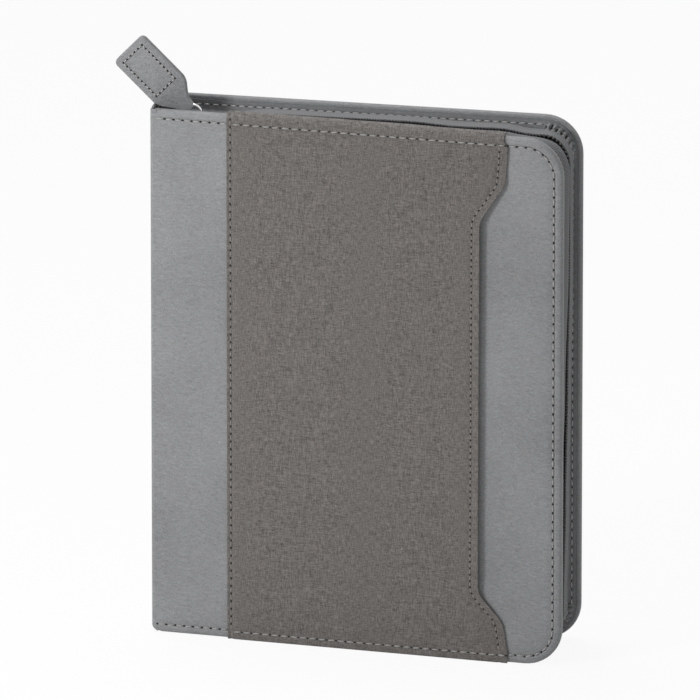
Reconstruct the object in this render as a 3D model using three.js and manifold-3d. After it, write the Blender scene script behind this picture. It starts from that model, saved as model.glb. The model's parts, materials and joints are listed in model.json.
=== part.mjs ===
// A zip-round organizer clutch: two stiffened covers folding on a spine, a three-sided zip
// with its slider and leather pull, an outside slip pocket, and the fittings inside.
// Millimetres, +Z up, standing on its lower edge. X runs from the spine to the fore edge,
// Y from the front cover to the back one. The origin is the middle of the spine's foot.
import * as THREE from 'three';
import { mergeVertices } from 'three/addons/utils/BufferGeometryUtils.js';
import Module from 'manifold-3d';

const wasm = await Module();
wasm.setup();

// Covers and spine
const HEIGHT = 240;
const FORE_EDGE_X = 186;
const CLOSED_DEPTH = 32;
const COVER_THICK = 4;
const CORNER_R = 17;
const SPINE_CORNER_R = 2;
const LEAST_R = 0.2;
const EDGE_ROUND = 1;
const HINGE_GAP = 0.5;
const AJAR_DEG = 3.8;

// Layers of a cover, from the outside in
const SKIN = 1;
const LAYER_GAP = 0.3;
const BOARD = 1.4;
const TURNED_EDGE = 1.4;

// Zip: a gusset and a tape stand on the back cover, a second tape on the front one
const ZIP_INSET = 7;
const ZIP_START_X = 6;
const FRONT_ZIP_START_X = 28;
const ZIP_LINE_Y = -5;
const GUSSET_DEPTH = 9;
const GUSSET_THICK = 1.2;
const TAPE_THICK = 0.8;
const FLANGE_THICK = 0.8;
const FLANGE_INSET = 1.8;
const TOOTH_BEAD = 1.2;
const TOOTH_HEIGHT = 1.3;
const TOOTH_THICK = 2.2;
const TOOTH_PITCH = 3;
const TOOTH_SHARE = 0.42;
const TEETH_APART = 1.6;
const STOP_LENGTH = 3;

// Slider and pull
const SLIDER_X = 9;
const SLIDER_LENGTH = 12;
const SLIDER_WIDTH = 10;
const SLIDER_PLATE = 1.1;
const SLIDER_CLEAR = 0.35;
const SLIDER_CORNER = 2;
const NOSE_SHARE = 0.65;
const SHOULDER_SHARE = 0.45;
const POST_SHARE = 0.55;
const POST_LENGTH = 3;
const POST_THICK = 0.8;
const POST_SUNK = 0.5;
const BRIDGE_R = 4.4;
const BRIDGE_LEG = 0.8;
const BRIDGE_WIDTH = 1.6;
const BRIDGE_WIRE = 1;
const PULL_LENGTH = 43;
const PULL_WIDTH = 18.5;
const PULL_NECK = 3.6;
const PULL_NECK_FOOT = 1.4;
const PULL_SHOULDER_FROM = 7;
const PULL_SHOULDER_TO = 15;
const PULL_LEAF = 1.2;
const PULL_FOLD = 1;
const PULL_TILT_DEG = 43.5;
const PULL_CORNER_R = 2.5;

// Outside slip pocket of woven cloth
const POCKET_LEFT_X = 33.6;
const POCKET_EDGE_X = 159;
const POCKET_MOUTH_X = 147;
const POCKET_HEAD_STEP = 21.7;
const POCKET_HEAD_SLANT = 17.6;
const POCKET_FOOT_STEP = 18.6;
const POCKET_FOOT_SLANT = 12.8;
const POCKET_CURVE = 4.5;
const POCKET_CLOTH = 1.1;
const POCKET_SLIP = 0.6;
const SEAM_WIDTH = 5;

// Inside fittings
const LINING_LEAF = 0.9;
const LEAF_CORNER_R = 1;
const SLEEVE_HEIGHT = 120;
const SLEEVE_BORDER = 6;
const SLEEVE_DROP = 4;
const PAD_LEFT_X = 34;
const PAD_FOOT_Z = 14;
const PAD_HEAD_ROOM = 14;
const PAD_SIDE_ROOM = 7;
const PAD_CARD = 1.2;
const PAD_STACK = 5;
const PAD_BINDING = 18;
const LOOP_R = 5.5;
const LOOP_WALL = 1.2;
const LOOP_HEIGHT = 45;
const LOOP_FOOT_Z = 110;
const LOOP_X = 18;
const CARD_POCKET_WIDTH = 104;
const CARD_POCKET_HEIGHT = 58;
const CARD_POCKET_RISE = 24;
const CARD_POCKET_LEFT_X = 44;
const CARD_POCKET_ROOM = 7;
const CARD_POCKET_COUNT = 3;
const FILE_POCKET_HEIGHT = 150;
const FILE_POCKET_FALL = 30;
const FILE_POCKET_BORDER = 14;
const FILE_POCKET_ROOM = 5;

const OUTER_Y = CLOSED_DEPTH / 2;
const INNER_Y = OUTER_Y - COVER_THICK;
const HINGE_Y = OUTER_Y - COVER_THICK / 2;
const FOLD_R = COVER_THICK / 2;
const COVER_LEFT_X = FOLD_R + HINGE_GAP;
const SPINE_HALF = HINGE_Y - FOLD_R - HINGE_GAP;
const PAD_WIDTH = FORE_EDGE_X - ZIP_INSET - PAD_SIDE_ROOM - PAD_LEFT_X;
const PAD_HEIGHT = HEIGHT - ZIP_INSET - PAD_HEAD_ROOM - PAD_FOOT_Z;
const ARC_STEPS = 6;

const leather = new THREE.MeshStandardMaterial({ color: 0x8f9092, roughness: 0.55, metalness: 0 });
const cloth = new THREE.MeshStandardMaterial({ color: 0x6c6865, roughness: 0.9, metalness: 0 });
const lining = new THREE.MeshStandardMaterial({ color: 0x3c3d40, roughness: 0.85, metalness: 0 });
const greyBoard = new THREE.MeshStandardMaterial({ color: 0x8a8378, roughness: 0.9, metalness: 0 });
const webbing = new THREE.MeshStandardMaterial({ color: 0x4a4b4e, roughness: 0.9, metalness: 0 });
const nylon = new THREE.MeshStandardMaterial({ color: 0x2c2c2e, roughness: 0.5, metalness: 0 });
const nickel = new THREE.MeshStandardMaterial({ color: 0xc9cacc, roughness: 0.25, metalness: 1 });
const paper = new THREE.MeshStandardMaterial({ color: 0xf2f0ea, roughness: 0.95, metalness: 0 });

// Turns a closed geometry into a solid that can be joined and cut
function solidOf(geometry) {
  const bare = geometry.clone();
  bare.deleteAttribute('normal');
  bare.deleteAttribute('uv');
  const merged = mergeVertices(bare);
  return new wasm.Manifold(new wasm.Mesh({
    numProp: 3,
    vertProperties: new Float32Array(merged.attributes.position.array),
    triVerts: new Uint32Array(merged.index.array),
  }));
}

function geometryOf(solid) {
  const mesh = solid.getMesh();
  const geometry = new THREE.BufferGeometry();
  geometry.setAttribute('position', new THREE.BufferAttribute(mesh.vertProperties, 3));
  geometry.setIndex(new THREE.BufferAttribute(mesh.triVerts, 1));
  geometry.computeVertexNormals();
  return geometry;
}

const cut = (a, b) => geometryOf(solidOf(a).subtract(solidOf(b)));
const join = (a, b) => geometryOf(solidOf(a).add(solidOf(b)));

// An upright rectangle in X and Z with one radius at the left corners and one at the right
function uprightShape(left, right, foot, top, leftR, rightR) {
  const shape = new THREE.Shape();
  shape.moveTo(left + leftR, foot);
  shape.lineTo(right - rightR, foot);
  shape.absarc(right - rightR, foot + rightR, rightR, -Math.PI / 2, 0);
  shape.lineTo(right, top - rightR);
  shape.absarc(right - rightR, top - rightR, rightR, 0, Math.PI / 2);
  shape.lineTo(left + leftR, top);
  shape.absarc(left + leftR, top - leftR, leftR, Math.PI / 2, Math.PI);
  shape.lineTo(left, foot + leftR);
  shape.absarc(left + leftR, foot + leftR, leftR, Math.PI, Math.PI * 1.5);
  return shape;
}

// A flat piece standing upright between two depths, its outline drawn in X and Z
function panel(shape, fromY, toY, round = 0) {
  const geometry = new THREE.ExtrudeGeometry(shape, {
    depth: toY - fromY - 2 * round,
    curveSegments: ARC_STEPS,
    bevelEnabled: round > 0,
    bevelSize: round,
    bevelOffset: -round,
    bevelThickness: round,
    bevelSegments: 2,
  });
  geometry.rotateX(Math.PI / 2);
  geometry.translate(0, toY - round, 0);
  return geometry;
}

// The same piece on the other cover
function mirrored(geometry) {
  const flipped = geometry.clone();
  flipped.deleteAttribute('normal');
  flipped.deleteAttribute('uv');
  flipped.scale(1, -1, 1);
  const merged = mergeVertices(flipped);
  const index = merged.index.array;
  for (let i = 0; i < index.length; i += 3) {
    [index[i], index[i + 1]] = [index[i + 1], index[i]];
  }
  merged.computeVertexNormals();
  return merged;
}

// Cover, seen as its layers: the turned leather tray, the board in it and the lining over that
function coverShape(inset) {
  const leftR = Math.max(SPINE_CORNER_R - inset, LEAST_R);
  const right = FORE_EDGE_X - inset;
  return uprightShape(COVER_LEFT_X + inset, right, inset, HEIGHT - inset, leftR, CORNER_R - inset);
}

function coverSkin() {
  const slab = panel(coverShape(0), INNER_Y, OUTER_Y, EDGE_ROUND);
  const pocket = panel(coverShape(TURNED_EDGE), INNER_Y - 1, OUTER_Y - SKIN);
  return cut(slab, pocket);
}

function coverBoard() {
  const back = OUTER_Y - SKIN - LAYER_GAP;
  return panel(coverShape(TURNED_EDGE + LAYER_GAP), back - BOARD, back);
}

function coverLining() {
  const back = OUTER_Y - SKIN - BOARD - 2 * LAYER_GAP;
  return panel(coverShape(TURNED_EDGE + LAYER_GAP), INNER_Y, back);
}

// The spine's layers are upright strips between the two folds
function spineStrip(fromX, toX, inset) {
  const strip = new THREE.BoxGeometry(toX - fromX, 2 * (SPINE_HALF - inset), HEIGHT - 2 * inset);
  strip.translate((fromX + toX) / 2, 0, HEIGHT / 2);
  return strip;
}

function spineSkin() {
  return cut(spineStrip(-FOLD_R, FOLD_R, 0), spineStrip(-FOLD_R + SKIN, FOLD_R + 1, TURNED_EDGE));
}

function spineBoard() {
  const from = -FOLD_R + SKIN + LAYER_GAP;
  return spineStrip(from, from + BOARD, TURNED_EDGE + LAYER_GAP);
}

function spineLining() {
  const from = -FOLD_R + SKIN + BOARD + 2 * LAYER_GAP;
  return spineStrip(from, FOLD_R, TURNED_EDGE + LAYER_GAP);
}

// The soft leather fold at each hinge line, round about the line it bends on
function hingeFold(y) {
  const fold = new THREE.CylinderGeometry(FOLD_R, FOLD_R, HEIGHT, 16);
  fold.rotateX(Math.PI / 2);
  fold.translate(0, y, HEIGHT / 2);
  return fold;
}

// The zip's route: along the top, round the corner, down the fore edge and back along the foot
const BEND_R = CORNER_R - ZIP_INSET;
const RUN_END_X = FORE_EDGE_X - CORNER_R;
const SIDE_RUN = HEIGHT - 2 * CORNER_R;
const BEND_LENGTH = BEND_R * Math.PI / 2;

function routeLength(startX) {
  return 2 * (RUN_END_X - startX) + 2 * BEND_LENGTH + SIDE_RUN;
}

function routeAt(s, startX) {
  const topRun = RUN_END_X - startX;
  if (s <= topRun) {
    return { x: startX + s, z: HEIGHT - ZIP_INSET, nx: 0, nz: 1 };
  }
  s -= topRun;
  if (s < BEND_LENGTH) {
    const a = Math.PI / 2 - s / BEND_R;
    return onBend(a, HEIGHT - CORNER_R);
  }
  s -= BEND_LENGTH;
  if (s <= SIDE_RUN) {
    return { x: FORE_EDGE_X - ZIP_INSET, z: HEIGHT - CORNER_R - s, nx: 1, nz: 0 };
  }
  s -= SIDE_RUN;
  if (s < BEND_LENGTH) {
    return onBend(-s / BEND_R, CORNER_R);
  }
  s -= BEND_LENGTH;
  return { x: RUN_END_X - s, z: ZIP_INSET, nx: 0, nz: -1 };
}

function onBend(angle, centreZ) {
  const nx = Math.cos(angle);
  const nz = Math.sin(angle);
  return { x: RUN_END_X + BEND_R * nx, z: centreZ + BEND_R * nz, nx, nz };
}

// Lengths along the route where a plain strip needs a ring: its ends and round both bends
function plainStations(startX) {
  const topRun = RUN_END_X - startX;
  const stations = [0];
  for (const bendStart of [topRun, topRun + BEND_LENGTH + SIDE_RUN]) {
    for (let i = 0; i <= ARC_STEPS; i++) {
      stations.push(bendStart + BEND_LENGTH * i / ARC_STEPS);
    }
  }
  stations.push(routeLength(startX));
  return stations;
}

function closedGeometry(positions, faces) {
  const geometry = new THREE.BufferGeometry();
  geometry.setAttribute('position', new THREE.Float32BufferAttribute(positions, 3));
  geometry.setIndex(faces);
  geometry.computeVertexNormals();
  return geometry;
}

// A strip along the route. Its section is a ring of [offset from the route, depth] points,
// counter-clockwise, that starts at its hollow corner if it has one.
function zipStrip(startX, section) {
  const positions = [];
  const faces = [];
  const stations = plainStations(startX);
  for (const s of stations) {
    const p = routeAt(s, startX);
    for (const [n, y] of section) {
      positions.push(p.x + n * p.nx, y, p.z + n * p.nz);
    }
  }
  const count = section.length;
  const last = count * (stations.length - 1);
  for (let ring = 0; ring < last; ring += count) {
    for (let i = 0; i < count; i++) {
      const j = (i + 1) % count;
      quad(faces, ring + i, ring + count + i, ring + count + j, ring + j);
    }
  }
  for (let i = 1; i < count - 1; i++) {
    faces.push(0, i, i + 1);
    faces.push(last, last + i + 1, last + i);
  }
  return closedGeometry(positions, faces);
}

// The section of a strip that stands off a cover, with a flange that is sewn to the cover's inside
function flangedSection(thick, fromY, toY) {
  const half = thick / 2;
  const reach = ZIP_INSET - FLANGE_INSET;
  if (toY > fromY) {
    const seat = toY - FLANGE_THICK;
    return [[half, seat], [reach, seat], [reach, toY], [-half, toY], [-half, fromY], [half, fromY]];
  }
  const seat = toY + FLANGE_THICK;
  return [[half, seat], [half, fromY], [-half, fromY], [-half, toY], [reach, toY], [reach, seat]];
}

function plainSection(thick, fromY, toY) {
  return [[-thick / 2, fromY], [thick / 2, fromY], [thick / 2, toY], [-thick / 2, toY]];
}

function quad(faces, a, b, c, d) {
  faces.push(a, b, c, a, c, d);
}

// The teeth on their bead: a strip whose free edge steps out at each tooth. Teeth of the two
// tapes stand half a pitch apart, so that each meets a gap of the other.
function zipTeeth(startX, baseY, side, phase) {
  const positions = [];
  const faces = [];
  const length = routeLength(startX);
  const count = Math.floor((length - TOOTH_PITCH) / TOOTH_PITCH);
  const marks = [0];
  for (let i = 0; i < count; i++) {
    const middle = (i + phase) * TOOTH_PITCH;
    marks.push(middle - TOOTH_PITCH * TOOTH_SHARE / 2, middle + TOOTH_PITCH * TOOTH_SHARE / 2);
  }
  marks.push(length);
  const depths = [baseY, baseY + side * TOOTH_BEAD, baseY + side * (TOOTH_BEAD + TOOTH_HEIGHT)];
  for (const s of marks) {
    const p = routeAt(s, startX);
    for (const y of depths) {
      for (const n of [-1, 1]) {
        positions.push(p.x + n * p.nx * TOOTH_THICK / 2, y, p.z + n * p.nz * TOOTH_THICK / 2);
      }
    }
  }
  const face = (a, b, c, d) => (side > 0 ? quad(faces, a, b, c, d) : quad(faces, d, c, b, a));
  for (let i = 0; i < marks.length - 1; i++) {
    const a = 6 * i;
    const b = a + 6;
    const isTooth = i % 2 === 1;
    face(a, b, b + 1, a + 1);
    face(a + 2, b + 2, b, a);
    face(a + 1, b + 1, b + 3, a + 3);
    if (isTooth) {
      face(a + 4, b + 4, b + 2, a + 2);
      face(a + 3, b + 3, b + 5, a + 5);
      face(a + 5, b + 5, b + 4, a + 4);
      face(a + 2, a + 3, a + 5, a + 4);
      face(b + 4, b + 5, b + 3, b + 2);
    } else {
      face(a + 3, b + 3, b + 2, a + 2);
    }
  }
  const end = 6 * (marks.length - 1);
  face(0, 1, 3, 2);
  face(end + 2, end + 3, end + 1, end);
  return withoutLoosePoints(closedGeometry(positions, faces));
}

// Drops the unused tip points of the first and last ring
function withoutLoosePoints(geometry) {
  const bare = geometry.toNonIndexed();
  bare.deleteAttribute('normal');
  const merged = mergeVertices(bare);
  merged.computeVertexNormals();
  return merged;
}

const TIP_Y = TEETH_APART / 2;
const TEETH_DEPTH = TOOTH_BEAD + TOOTH_HEIGHT;
const BACK_BASE_Y = ZIP_LINE_Y + TIP_Y + TEETH_DEPTH;
const FRONT_BASE_Y = ZIP_LINE_Y - TIP_Y - TEETH_DEPTH;

// A small crimped stop at the end of the back chain
function zipStop(x, z) {
  const depth = TEETH_DEPTH + 1;
  const stop = new THREE.BoxGeometry(STOP_LENGTH, depth, TOOTH_THICK);
  stop.translate(x, BACK_BASE_Y - depth / 2, z);
  return stop;
}

// Slider: two plates over and under the chain, joined by a post between the halves
function box(fromX, toX, fromY, toY, fromZ, toZ) {
  const block = new THREE.BoxGeometry(toX - fromX, toY - fromY, toZ - fromZ);
  block.translate((fromX + toX) / 2, (fromY + toY) / 2, (fromZ + toZ) / 2);
  return block;
}

const ZIP_Z = HEIGHT - ZIP_INSET;
const PLATE_FROM = TOOTH_THICK / 2 + SLIDER_CLEAR;
const PLATE_TO = PLATE_FROM + SLIDER_PLATE;

function sliderPlate(z) {
  const half = SLIDER_WIDTH / 2;
  const shape = new THREE.Shape();
  const end = SLIDER_X + SLIDER_LENGTH;
  const shoulder = SLIDER_X + SLIDER_LENGTH * SHOULDER_SHARE;
  shape.moveTo(SLIDER_X, ZIP_LINE_Y - half * NOSE_SHARE);
  shape.lineTo(shoulder, ZIP_LINE_Y - half);
  shape.lineTo(end - SLIDER_CORNER, ZIP_LINE_Y - half);
  shape.lineTo(end, ZIP_LINE_Y - half + SLIDER_CORNER);
  shape.lineTo(end, ZIP_LINE_Y + half - SLIDER_CORNER);
  shape.lineTo(end - SLIDER_CORNER, ZIP_LINE_Y + half);
  shape.lineTo(shoulder, ZIP_LINE_Y + half);
  shape.lineTo(SLIDER_X, ZIP_LINE_Y + half * NOSE_SHARE);
  const plate = new THREE.ExtrudeGeometry(shape, { depth: SLIDER_PLATE, bevelEnabled: false });
  plate.translate(0, 0, z);
  return plate;
}

function sliderBody() {
  const postX = SLIDER_X + SLIDER_LENGTH * POST_SHARE;
  const halfPost = POST_THICK / 2;
  const reach = PLATE_FROM + POST_SUNK;
  const post = box(postX, postX + POST_LENGTH, ZIP_LINE_Y - halfPost, ZIP_LINE_Y + halfPost,
    ZIP_Z - reach, ZIP_Z + reach);
  return join(join(sliderPlate(ZIP_Z + PLATE_FROM), sliderPlate(ZIP_Z - PLATE_TO)), post);
}

// The bridge is a half ring along the slider, and the pull's neck passes under it
const BRIDGE_MID_X = SLIDER_X + SLIDER_LENGTH / 2;
const BRIDGE_FOOT_Z = ZIP_Z + PLATE_TO;
const BRIDGE_CENTRE_Z = BRIDGE_FOOT_Z + BRIDGE_LEG;

function sliderBridge() {
  const inner = BRIDGE_R - BRIDGE_WIRE;
  const arch = new THREE.Shape();
  arch.moveTo(BRIDGE_R, -BRIDGE_LEG);
  arch.absarc(0, 0, BRIDGE_R, 0, Math.PI);
  arch.lineTo(-BRIDGE_R, -BRIDGE_LEG);
  arch.lineTo(-inner, -BRIDGE_LEG);
  arch.absarc(0, 0, inner, Math.PI, 0, true);
  arch.lineTo(inner, -BRIDGE_LEG);
  const bridge = panel(arch, ZIP_LINE_Y - BRIDGE_WIDTH / 2, ZIP_LINE_Y + BRIDGE_WIDTH / 2);
  bridge.translate(BRIDGE_MID_X, 0, BRIDGE_CENTRE_Z);
  return bridge;
}

// The pull is one strip of leather folded under the bridge, its two leaves sewn together over a
// filler. It is drawn standing straight up from the bridge's centre, about which it swings.
const LEAF_FROM_Y = BRIDGE_WIDTH / 2 + LAYER_GAP;
const LEAF_TO_Y = LEAF_FROM_Y + PULL_LEAF;

function pullShape(foot, neckHalf, trim) {
  const half = PULL_WIDTH / 2 - trim;
  const top = PULL_LENGTH - trim;
  const shape = new THREE.Shape();
  shape.moveTo(-neckHalf, foot);
  shape.lineTo(neckHalf, foot);
  shape.lineTo(neckHalf, Math.max(foot, PULL_SHOULDER_FROM));
  shape.lineTo(half, PULL_SHOULDER_TO);
  shape.lineTo(half, top - PULL_CORNER_R);
  shape.absarc(half - PULL_CORNER_R, top - PULL_CORNER_R, PULL_CORNER_R, 0, Math.PI / 2);
  shape.absarc(-half + PULL_CORNER_R, top - PULL_CORNER_R, PULL_CORNER_R, Math.PI / 2, Math.PI);
  shape.lineTo(-half, PULL_SHOULDER_TO);
  shape.lineTo(-neckHalf, Math.max(foot, PULL_SHOULDER_FROM));
  return shape;
}

function pullStrap() {
  const outline = pullShape(PULL_NECK_FOOT, PULL_NECK / 2, 0);
  const leaves = join(panel(outline, -LEAF_TO_Y, -LEAF_FROM_Y), panel(outline, LEAF_FROM_Y, LEAF_TO_Y));
  const fold = box(-PULL_NECK / 2, PULL_NECK / 2, -LEAF_TO_Y, LEAF_TO_Y,
    PULL_NECK_FOOT, PULL_NECK_FOOT + PULL_FOLD);
  return join(leaves, fold);
}

function pullFiller() {
  const outline = pullShape(PULL_SHOULDER_FROM, PULL_NECK / 2, LAYER_GAP);
  return panel(outline, -LEAF_FROM_Y + LAYER_GAP, LEAF_FROM_Y - LAYER_GAP);
}

const group = new THREE.Group();

function add(parent, name, geometry, material) {
  const mesh = new THREE.Mesh(geometry, material);
  mesh.name = name;
  parent.add(mesh);
  return mesh;
}

// The back cover with what is sewn to it
add(group, 'back_skin', coverSkin(), leather);
add(group, 'back_board', coverBoard(), greyBoard);
add(group, 'back_lining', coverLining(), lining);
const gussetEndY = INNER_Y - LAYER_GAP - GUSSET_DEPTH;
add(group, 'back_gusset',
  zipStrip(ZIP_START_X, flangedSection(GUSSET_THICK, gussetEndY, INNER_Y - LAYER_GAP)), leather);
add(group, 'back_zip_tape',
  zipStrip(ZIP_START_X, plainSection(TAPE_THICK, BACK_BASE_Y, gussetEndY)), webbing);
add(group, 'back_zip_teeth', zipTeeth(ZIP_START_X, BACK_BASE_Y, -1, 1), nylon);
const stopX = ZIP_START_X - STOP_LENGTH / 2;
add(group, 'zip_top_stop', zipStop(stopX, ZIP_Z), nickel);
add(group, 'zip_end_stop', zipStop(stopX, ZIP_INSET), nickel);

// The writing pad: its card slips behind the sleeve panel
function leafShape(left, right, foot, top) {
  return uprightShape(left, right, foot, top, LEAF_CORNER_R, LEAF_CORNER_R);
}

const padRight = PAD_LEFT_X + PAD_WIDTH;
const padTop = PAD_FOOT_Z + PAD_HEIGHT;
const sleeveY = INNER_Y - LAYER_GAP;
const cardY = sleeveY;
add(group, 'pad_card', panel(
  leafShape(PAD_LEFT_X, padRight, PAD_FOOT_Z, padTop),
  cardY - PAD_CARD, cardY), greyBoard);
const sleeveFrontY = cardY - PAD_CARD - LAYER_GAP;
const sleeveFoot = PAD_FOOT_Z - SLEEVE_DROP;
add(group, 'pad_sleeve', panel(
  leafShape(PAD_LEFT_X - SLEEVE_BORDER, padRight, sleeveFoot, sleeveFoot + SLEEVE_HEIGHT),
  sleeveFrontY - LINING_LEAF, sleeveFrontY), leather);
const pagesY = sleeveFrontY - LINING_LEAF - LAYER_GAP;
add(group, 'pad_pages', panel(
  leafShape(PAD_LEFT_X, padRight, PAD_FOOT_Z, padTop - PAD_BINDING),
  pagesY - PAD_STACK, pagesY), paper);
add(group, 'pad_binding', panel(
  leafShape(PAD_LEFT_X, padRight, padTop - PAD_BINDING + LAYER_GAP, padTop),
  pagesY - PAD_STACK, cardY - PAD_CARD - LAYER_GAP), cloth);

// The elastic pen loop on the back cover, close to the spine
function penLoop() {
  const y = INNER_Y - LAYER_GAP - LOOP_R - LOOP_WALL;
  const ring = new THREE.Shape();
  ring.absarc(0, 0, LOOP_R + LOOP_WALL, 0, Math.PI * 2);
  const bore = new THREE.Path();
  bore.absarc(0, 0, LOOP_R, 0, Math.PI * 2);
  ring.holes.push(bore);
  const loop = new THREE.ExtrudeGeometry(ring, { depth: LOOP_HEIGHT, bevelEnabled: false, curveSegments: 8 });
  loop.translate(LOOP_X, y, LOOP_FOOT_Z);
  return loop;
}
add(group, 'pen_loop', penLoop(), webbing);
add(group, 'rear_fold', hingeFold(HINGE_Y), leather);

// Spine
add(group, 'spine_skin', spineSkin(), leather);
add(group, 'spine_board', spineBoard(), greyBoard);
add(group, 'spine_lining', spineLining(), lining);
add(group, 'front_fold', hingeFold(-HINGE_Y), leather);

// The front cover stands a few degrees ajar on the front fold
const ajar = new THREE.Group();
ajar.position.set(0, -HINGE_Y, 0);
ajar.rotation.z = -THREE.MathUtils.degToRad(AJAR_DEG);
const front = new THREE.Group();
front.position.set(0, HINGE_Y, 0);
ajar.add(front);
group.add(ajar);

add(front, 'front_skin', mirrored(coverSkin()), leather);
add(front, 'front_board', mirrored(coverBoard()), greyBoard);
add(front, 'front_lining', mirrored(coverLining()), lining);
add(front, 'front_zip_tape',
  zipStrip(FRONT_ZIP_START_X, flangedSection(TAPE_THICK, FRONT_BASE_Y, -INNER_Y + LAYER_GAP)), webbing);
add(front, 'front_zip_teeth', zipTeeth(FRONT_ZIP_START_X, FRONT_BASE_Y, 1, 1.5), nylon);

// Slip pocket of cloth over the front cover, open along its stepped fore edge and sewn down at
// its left, top and foot by a seam fold that holds it off the leather
function pocketShape() {
  const foot = EDGE_ROUND;
  const head = HEIGHT - EDGE_ROUND;
  const shape = new THREE.Shape();
  shape.moveTo(POCKET_LEFT_X, foot);
  shape.lineTo(POCKET_EDGE_X, foot);
  softStep(shape, POCKET_EDGE_X, POCKET_FOOT_STEP, POCKET_MOUTH_X, POCKET_FOOT_STEP + POCKET_FOOT_SLANT);
  softStep(shape, POCKET_MOUTH_X, HEIGHT - POCKET_HEAD_STEP - POCKET_HEAD_SLANT,
    POCKET_EDGE_X, HEIGHT - POCKET_HEAD_STEP);
  shape.lineTo(POCKET_EDGE_X, head);
  shape.lineTo(POCKET_LEFT_X, head);
  return shape;
}

// A slanting step of the mouth between two upright runs, its two corners turned to curves
function softStep(shape, fromX, fromZ, toX, toZ) {
  const length = Math.hypot(toX - fromX, toZ - fromZ);
  const alongX = (toX - fromX) / length * POCKET_CURVE;
  const alongZ = (toZ - fromZ) / length * POCKET_CURVE;
  shape.lineTo(fromX, fromZ - POCKET_CURVE);
  shape.quadraticCurveTo(fromX, fromZ, fromX + alongX, fromZ + alongZ);
  shape.lineTo(toX - alongX, toZ - alongZ);
  shape.quadraticCurveTo(toX, toZ, toX, toZ + POCKET_CURVE);
}

function clothPocket() {
  const skinY = -OUTER_Y - LAYER_GAP;
  const face = skinY - POCKET_SLIP - POCKET_CLOTH;
  const slab = panel(pocketShape(), face, skinY);
  const slip = box(POCKET_LEFT_X + SEAM_WIDTH, POCKET_EDGE_X + 1, skinY - POCKET_SLIP, skinY + 1,
    EDGE_ROUND + SEAM_WIDTH, HEIGHT - EDGE_ROUND - SEAM_WIDTH);
  return cut(slab, slip);
}
add(front, 'cloth_pocket', clothPocket(), cloth);

// Inside the front cover: a file pocket with a sloping mouth, and stepped card pockets on it
function filePocket() {
  const left = CARD_POCKET_LEFT_X - FILE_POCKET_BORDER;
  const right = FORE_EDGE_X - ZIP_INSET - FILE_POCKET_ROOM;
  const foot = ZIP_INSET + FILE_POCKET_ROOM;
  const shape = new THREE.Shape();
  shape.moveTo(left, foot);
  shape.lineTo(right, foot);
  shape.lineTo(right, foot + FILE_POCKET_HEIGHT);
  shape.lineTo(left, foot + FILE_POCKET_HEIGHT - FILE_POCKET_FALL);
  const y = -INNER_Y + LAYER_GAP;
  return panel(shape, y, y + LINING_LEAF);
}
add(front, 'file_pocket', filePocket(), lining);

for (let i = 0; i < CARD_POCKET_COUNT; i++) {
  const y = -INNER_Y + LAYER_GAP + (i + 1) * (LINING_LEAF + LAYER_GAP);
  const foot = ZIP_INSET + CARD_POCKET_ROOM;
  const top = foot + CARD_POCKET_HEIGHT + (CARD_POCKET_COUNT - 1 - i) * CARD_POCKET_RISE;
  const shape = leafShape(CARD_POCKET_LEFT_X, CARD_POCKET_LEFT_X + CARD_POCKET_WIDTH, foot, top);
  add(front, 'card_pocket_' + (i + 1), panel(shape, y, y + LINING_LEAF), leather);
}

// Slider and pull, at the spine end of the top run
add(group, 'slider_body', sliderBody(), nickel);
add(group, 'slider_bridge', sliderBridge(), nickel);
const leaning = new THREE.Group();
leaning.position.set(BRIDGE_MID_X, ZIP_LINE_Y, BRIDGE_CENTRE_Z);
leaning.rotation.y = -THREE.MathUtils.degToRad(PULL_TILT_DEG);
group.add(leaning);
add(leaning, 'pull_strap', pullStrap(), leather);
add(leaning, 'pull_filler', pullFiller(), leather);

export default group;
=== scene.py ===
import json
import math
import random

import bmesh
import bpy
from mathutils import Matrix, Vector


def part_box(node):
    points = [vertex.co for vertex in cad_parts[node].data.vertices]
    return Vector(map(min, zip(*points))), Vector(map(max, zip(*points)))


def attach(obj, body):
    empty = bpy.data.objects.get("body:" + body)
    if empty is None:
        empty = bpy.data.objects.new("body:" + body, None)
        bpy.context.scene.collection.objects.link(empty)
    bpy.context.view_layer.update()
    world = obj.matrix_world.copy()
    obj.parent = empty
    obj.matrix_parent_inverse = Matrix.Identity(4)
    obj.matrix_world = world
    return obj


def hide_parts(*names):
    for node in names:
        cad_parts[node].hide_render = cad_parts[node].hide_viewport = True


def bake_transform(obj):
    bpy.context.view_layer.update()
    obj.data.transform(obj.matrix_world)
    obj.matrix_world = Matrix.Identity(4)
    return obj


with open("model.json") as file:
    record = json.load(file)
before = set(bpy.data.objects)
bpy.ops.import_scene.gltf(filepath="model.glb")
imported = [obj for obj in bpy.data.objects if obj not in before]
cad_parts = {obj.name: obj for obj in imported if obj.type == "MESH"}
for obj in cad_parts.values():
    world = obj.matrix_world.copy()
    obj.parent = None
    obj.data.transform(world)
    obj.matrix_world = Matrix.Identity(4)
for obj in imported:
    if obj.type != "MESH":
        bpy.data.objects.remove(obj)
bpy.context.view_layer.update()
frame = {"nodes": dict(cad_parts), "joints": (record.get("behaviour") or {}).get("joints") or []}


# Camera. It stands seven metres off with a long lens, a little right of the front cover and
# above it, at the angle found by fitting a pinhole camera to the photograph's edges.
AIM = Vector((0.08515, -0.0032, 0.13183))
AZIMUTH = math.radians(12.45)
ELEVATION = math.radians(16.64)
DISTANCE = 7.01
FOCAL_PIXELS = 15949
FRAME_PIXELS = 700
SENSOR = 36
away = Vector((math.sin(AZIMUTH) * math.cos(ELEVATION),
               -math.cos(AZIMUTH) * math.cos(ELEVATION),
               math.sin(ELEVATION)))
camera = bpy.data.objects.new("camera", bpy.data.cameras.new("camera"))
camera.data.sensor_width = SENSOR
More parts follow.
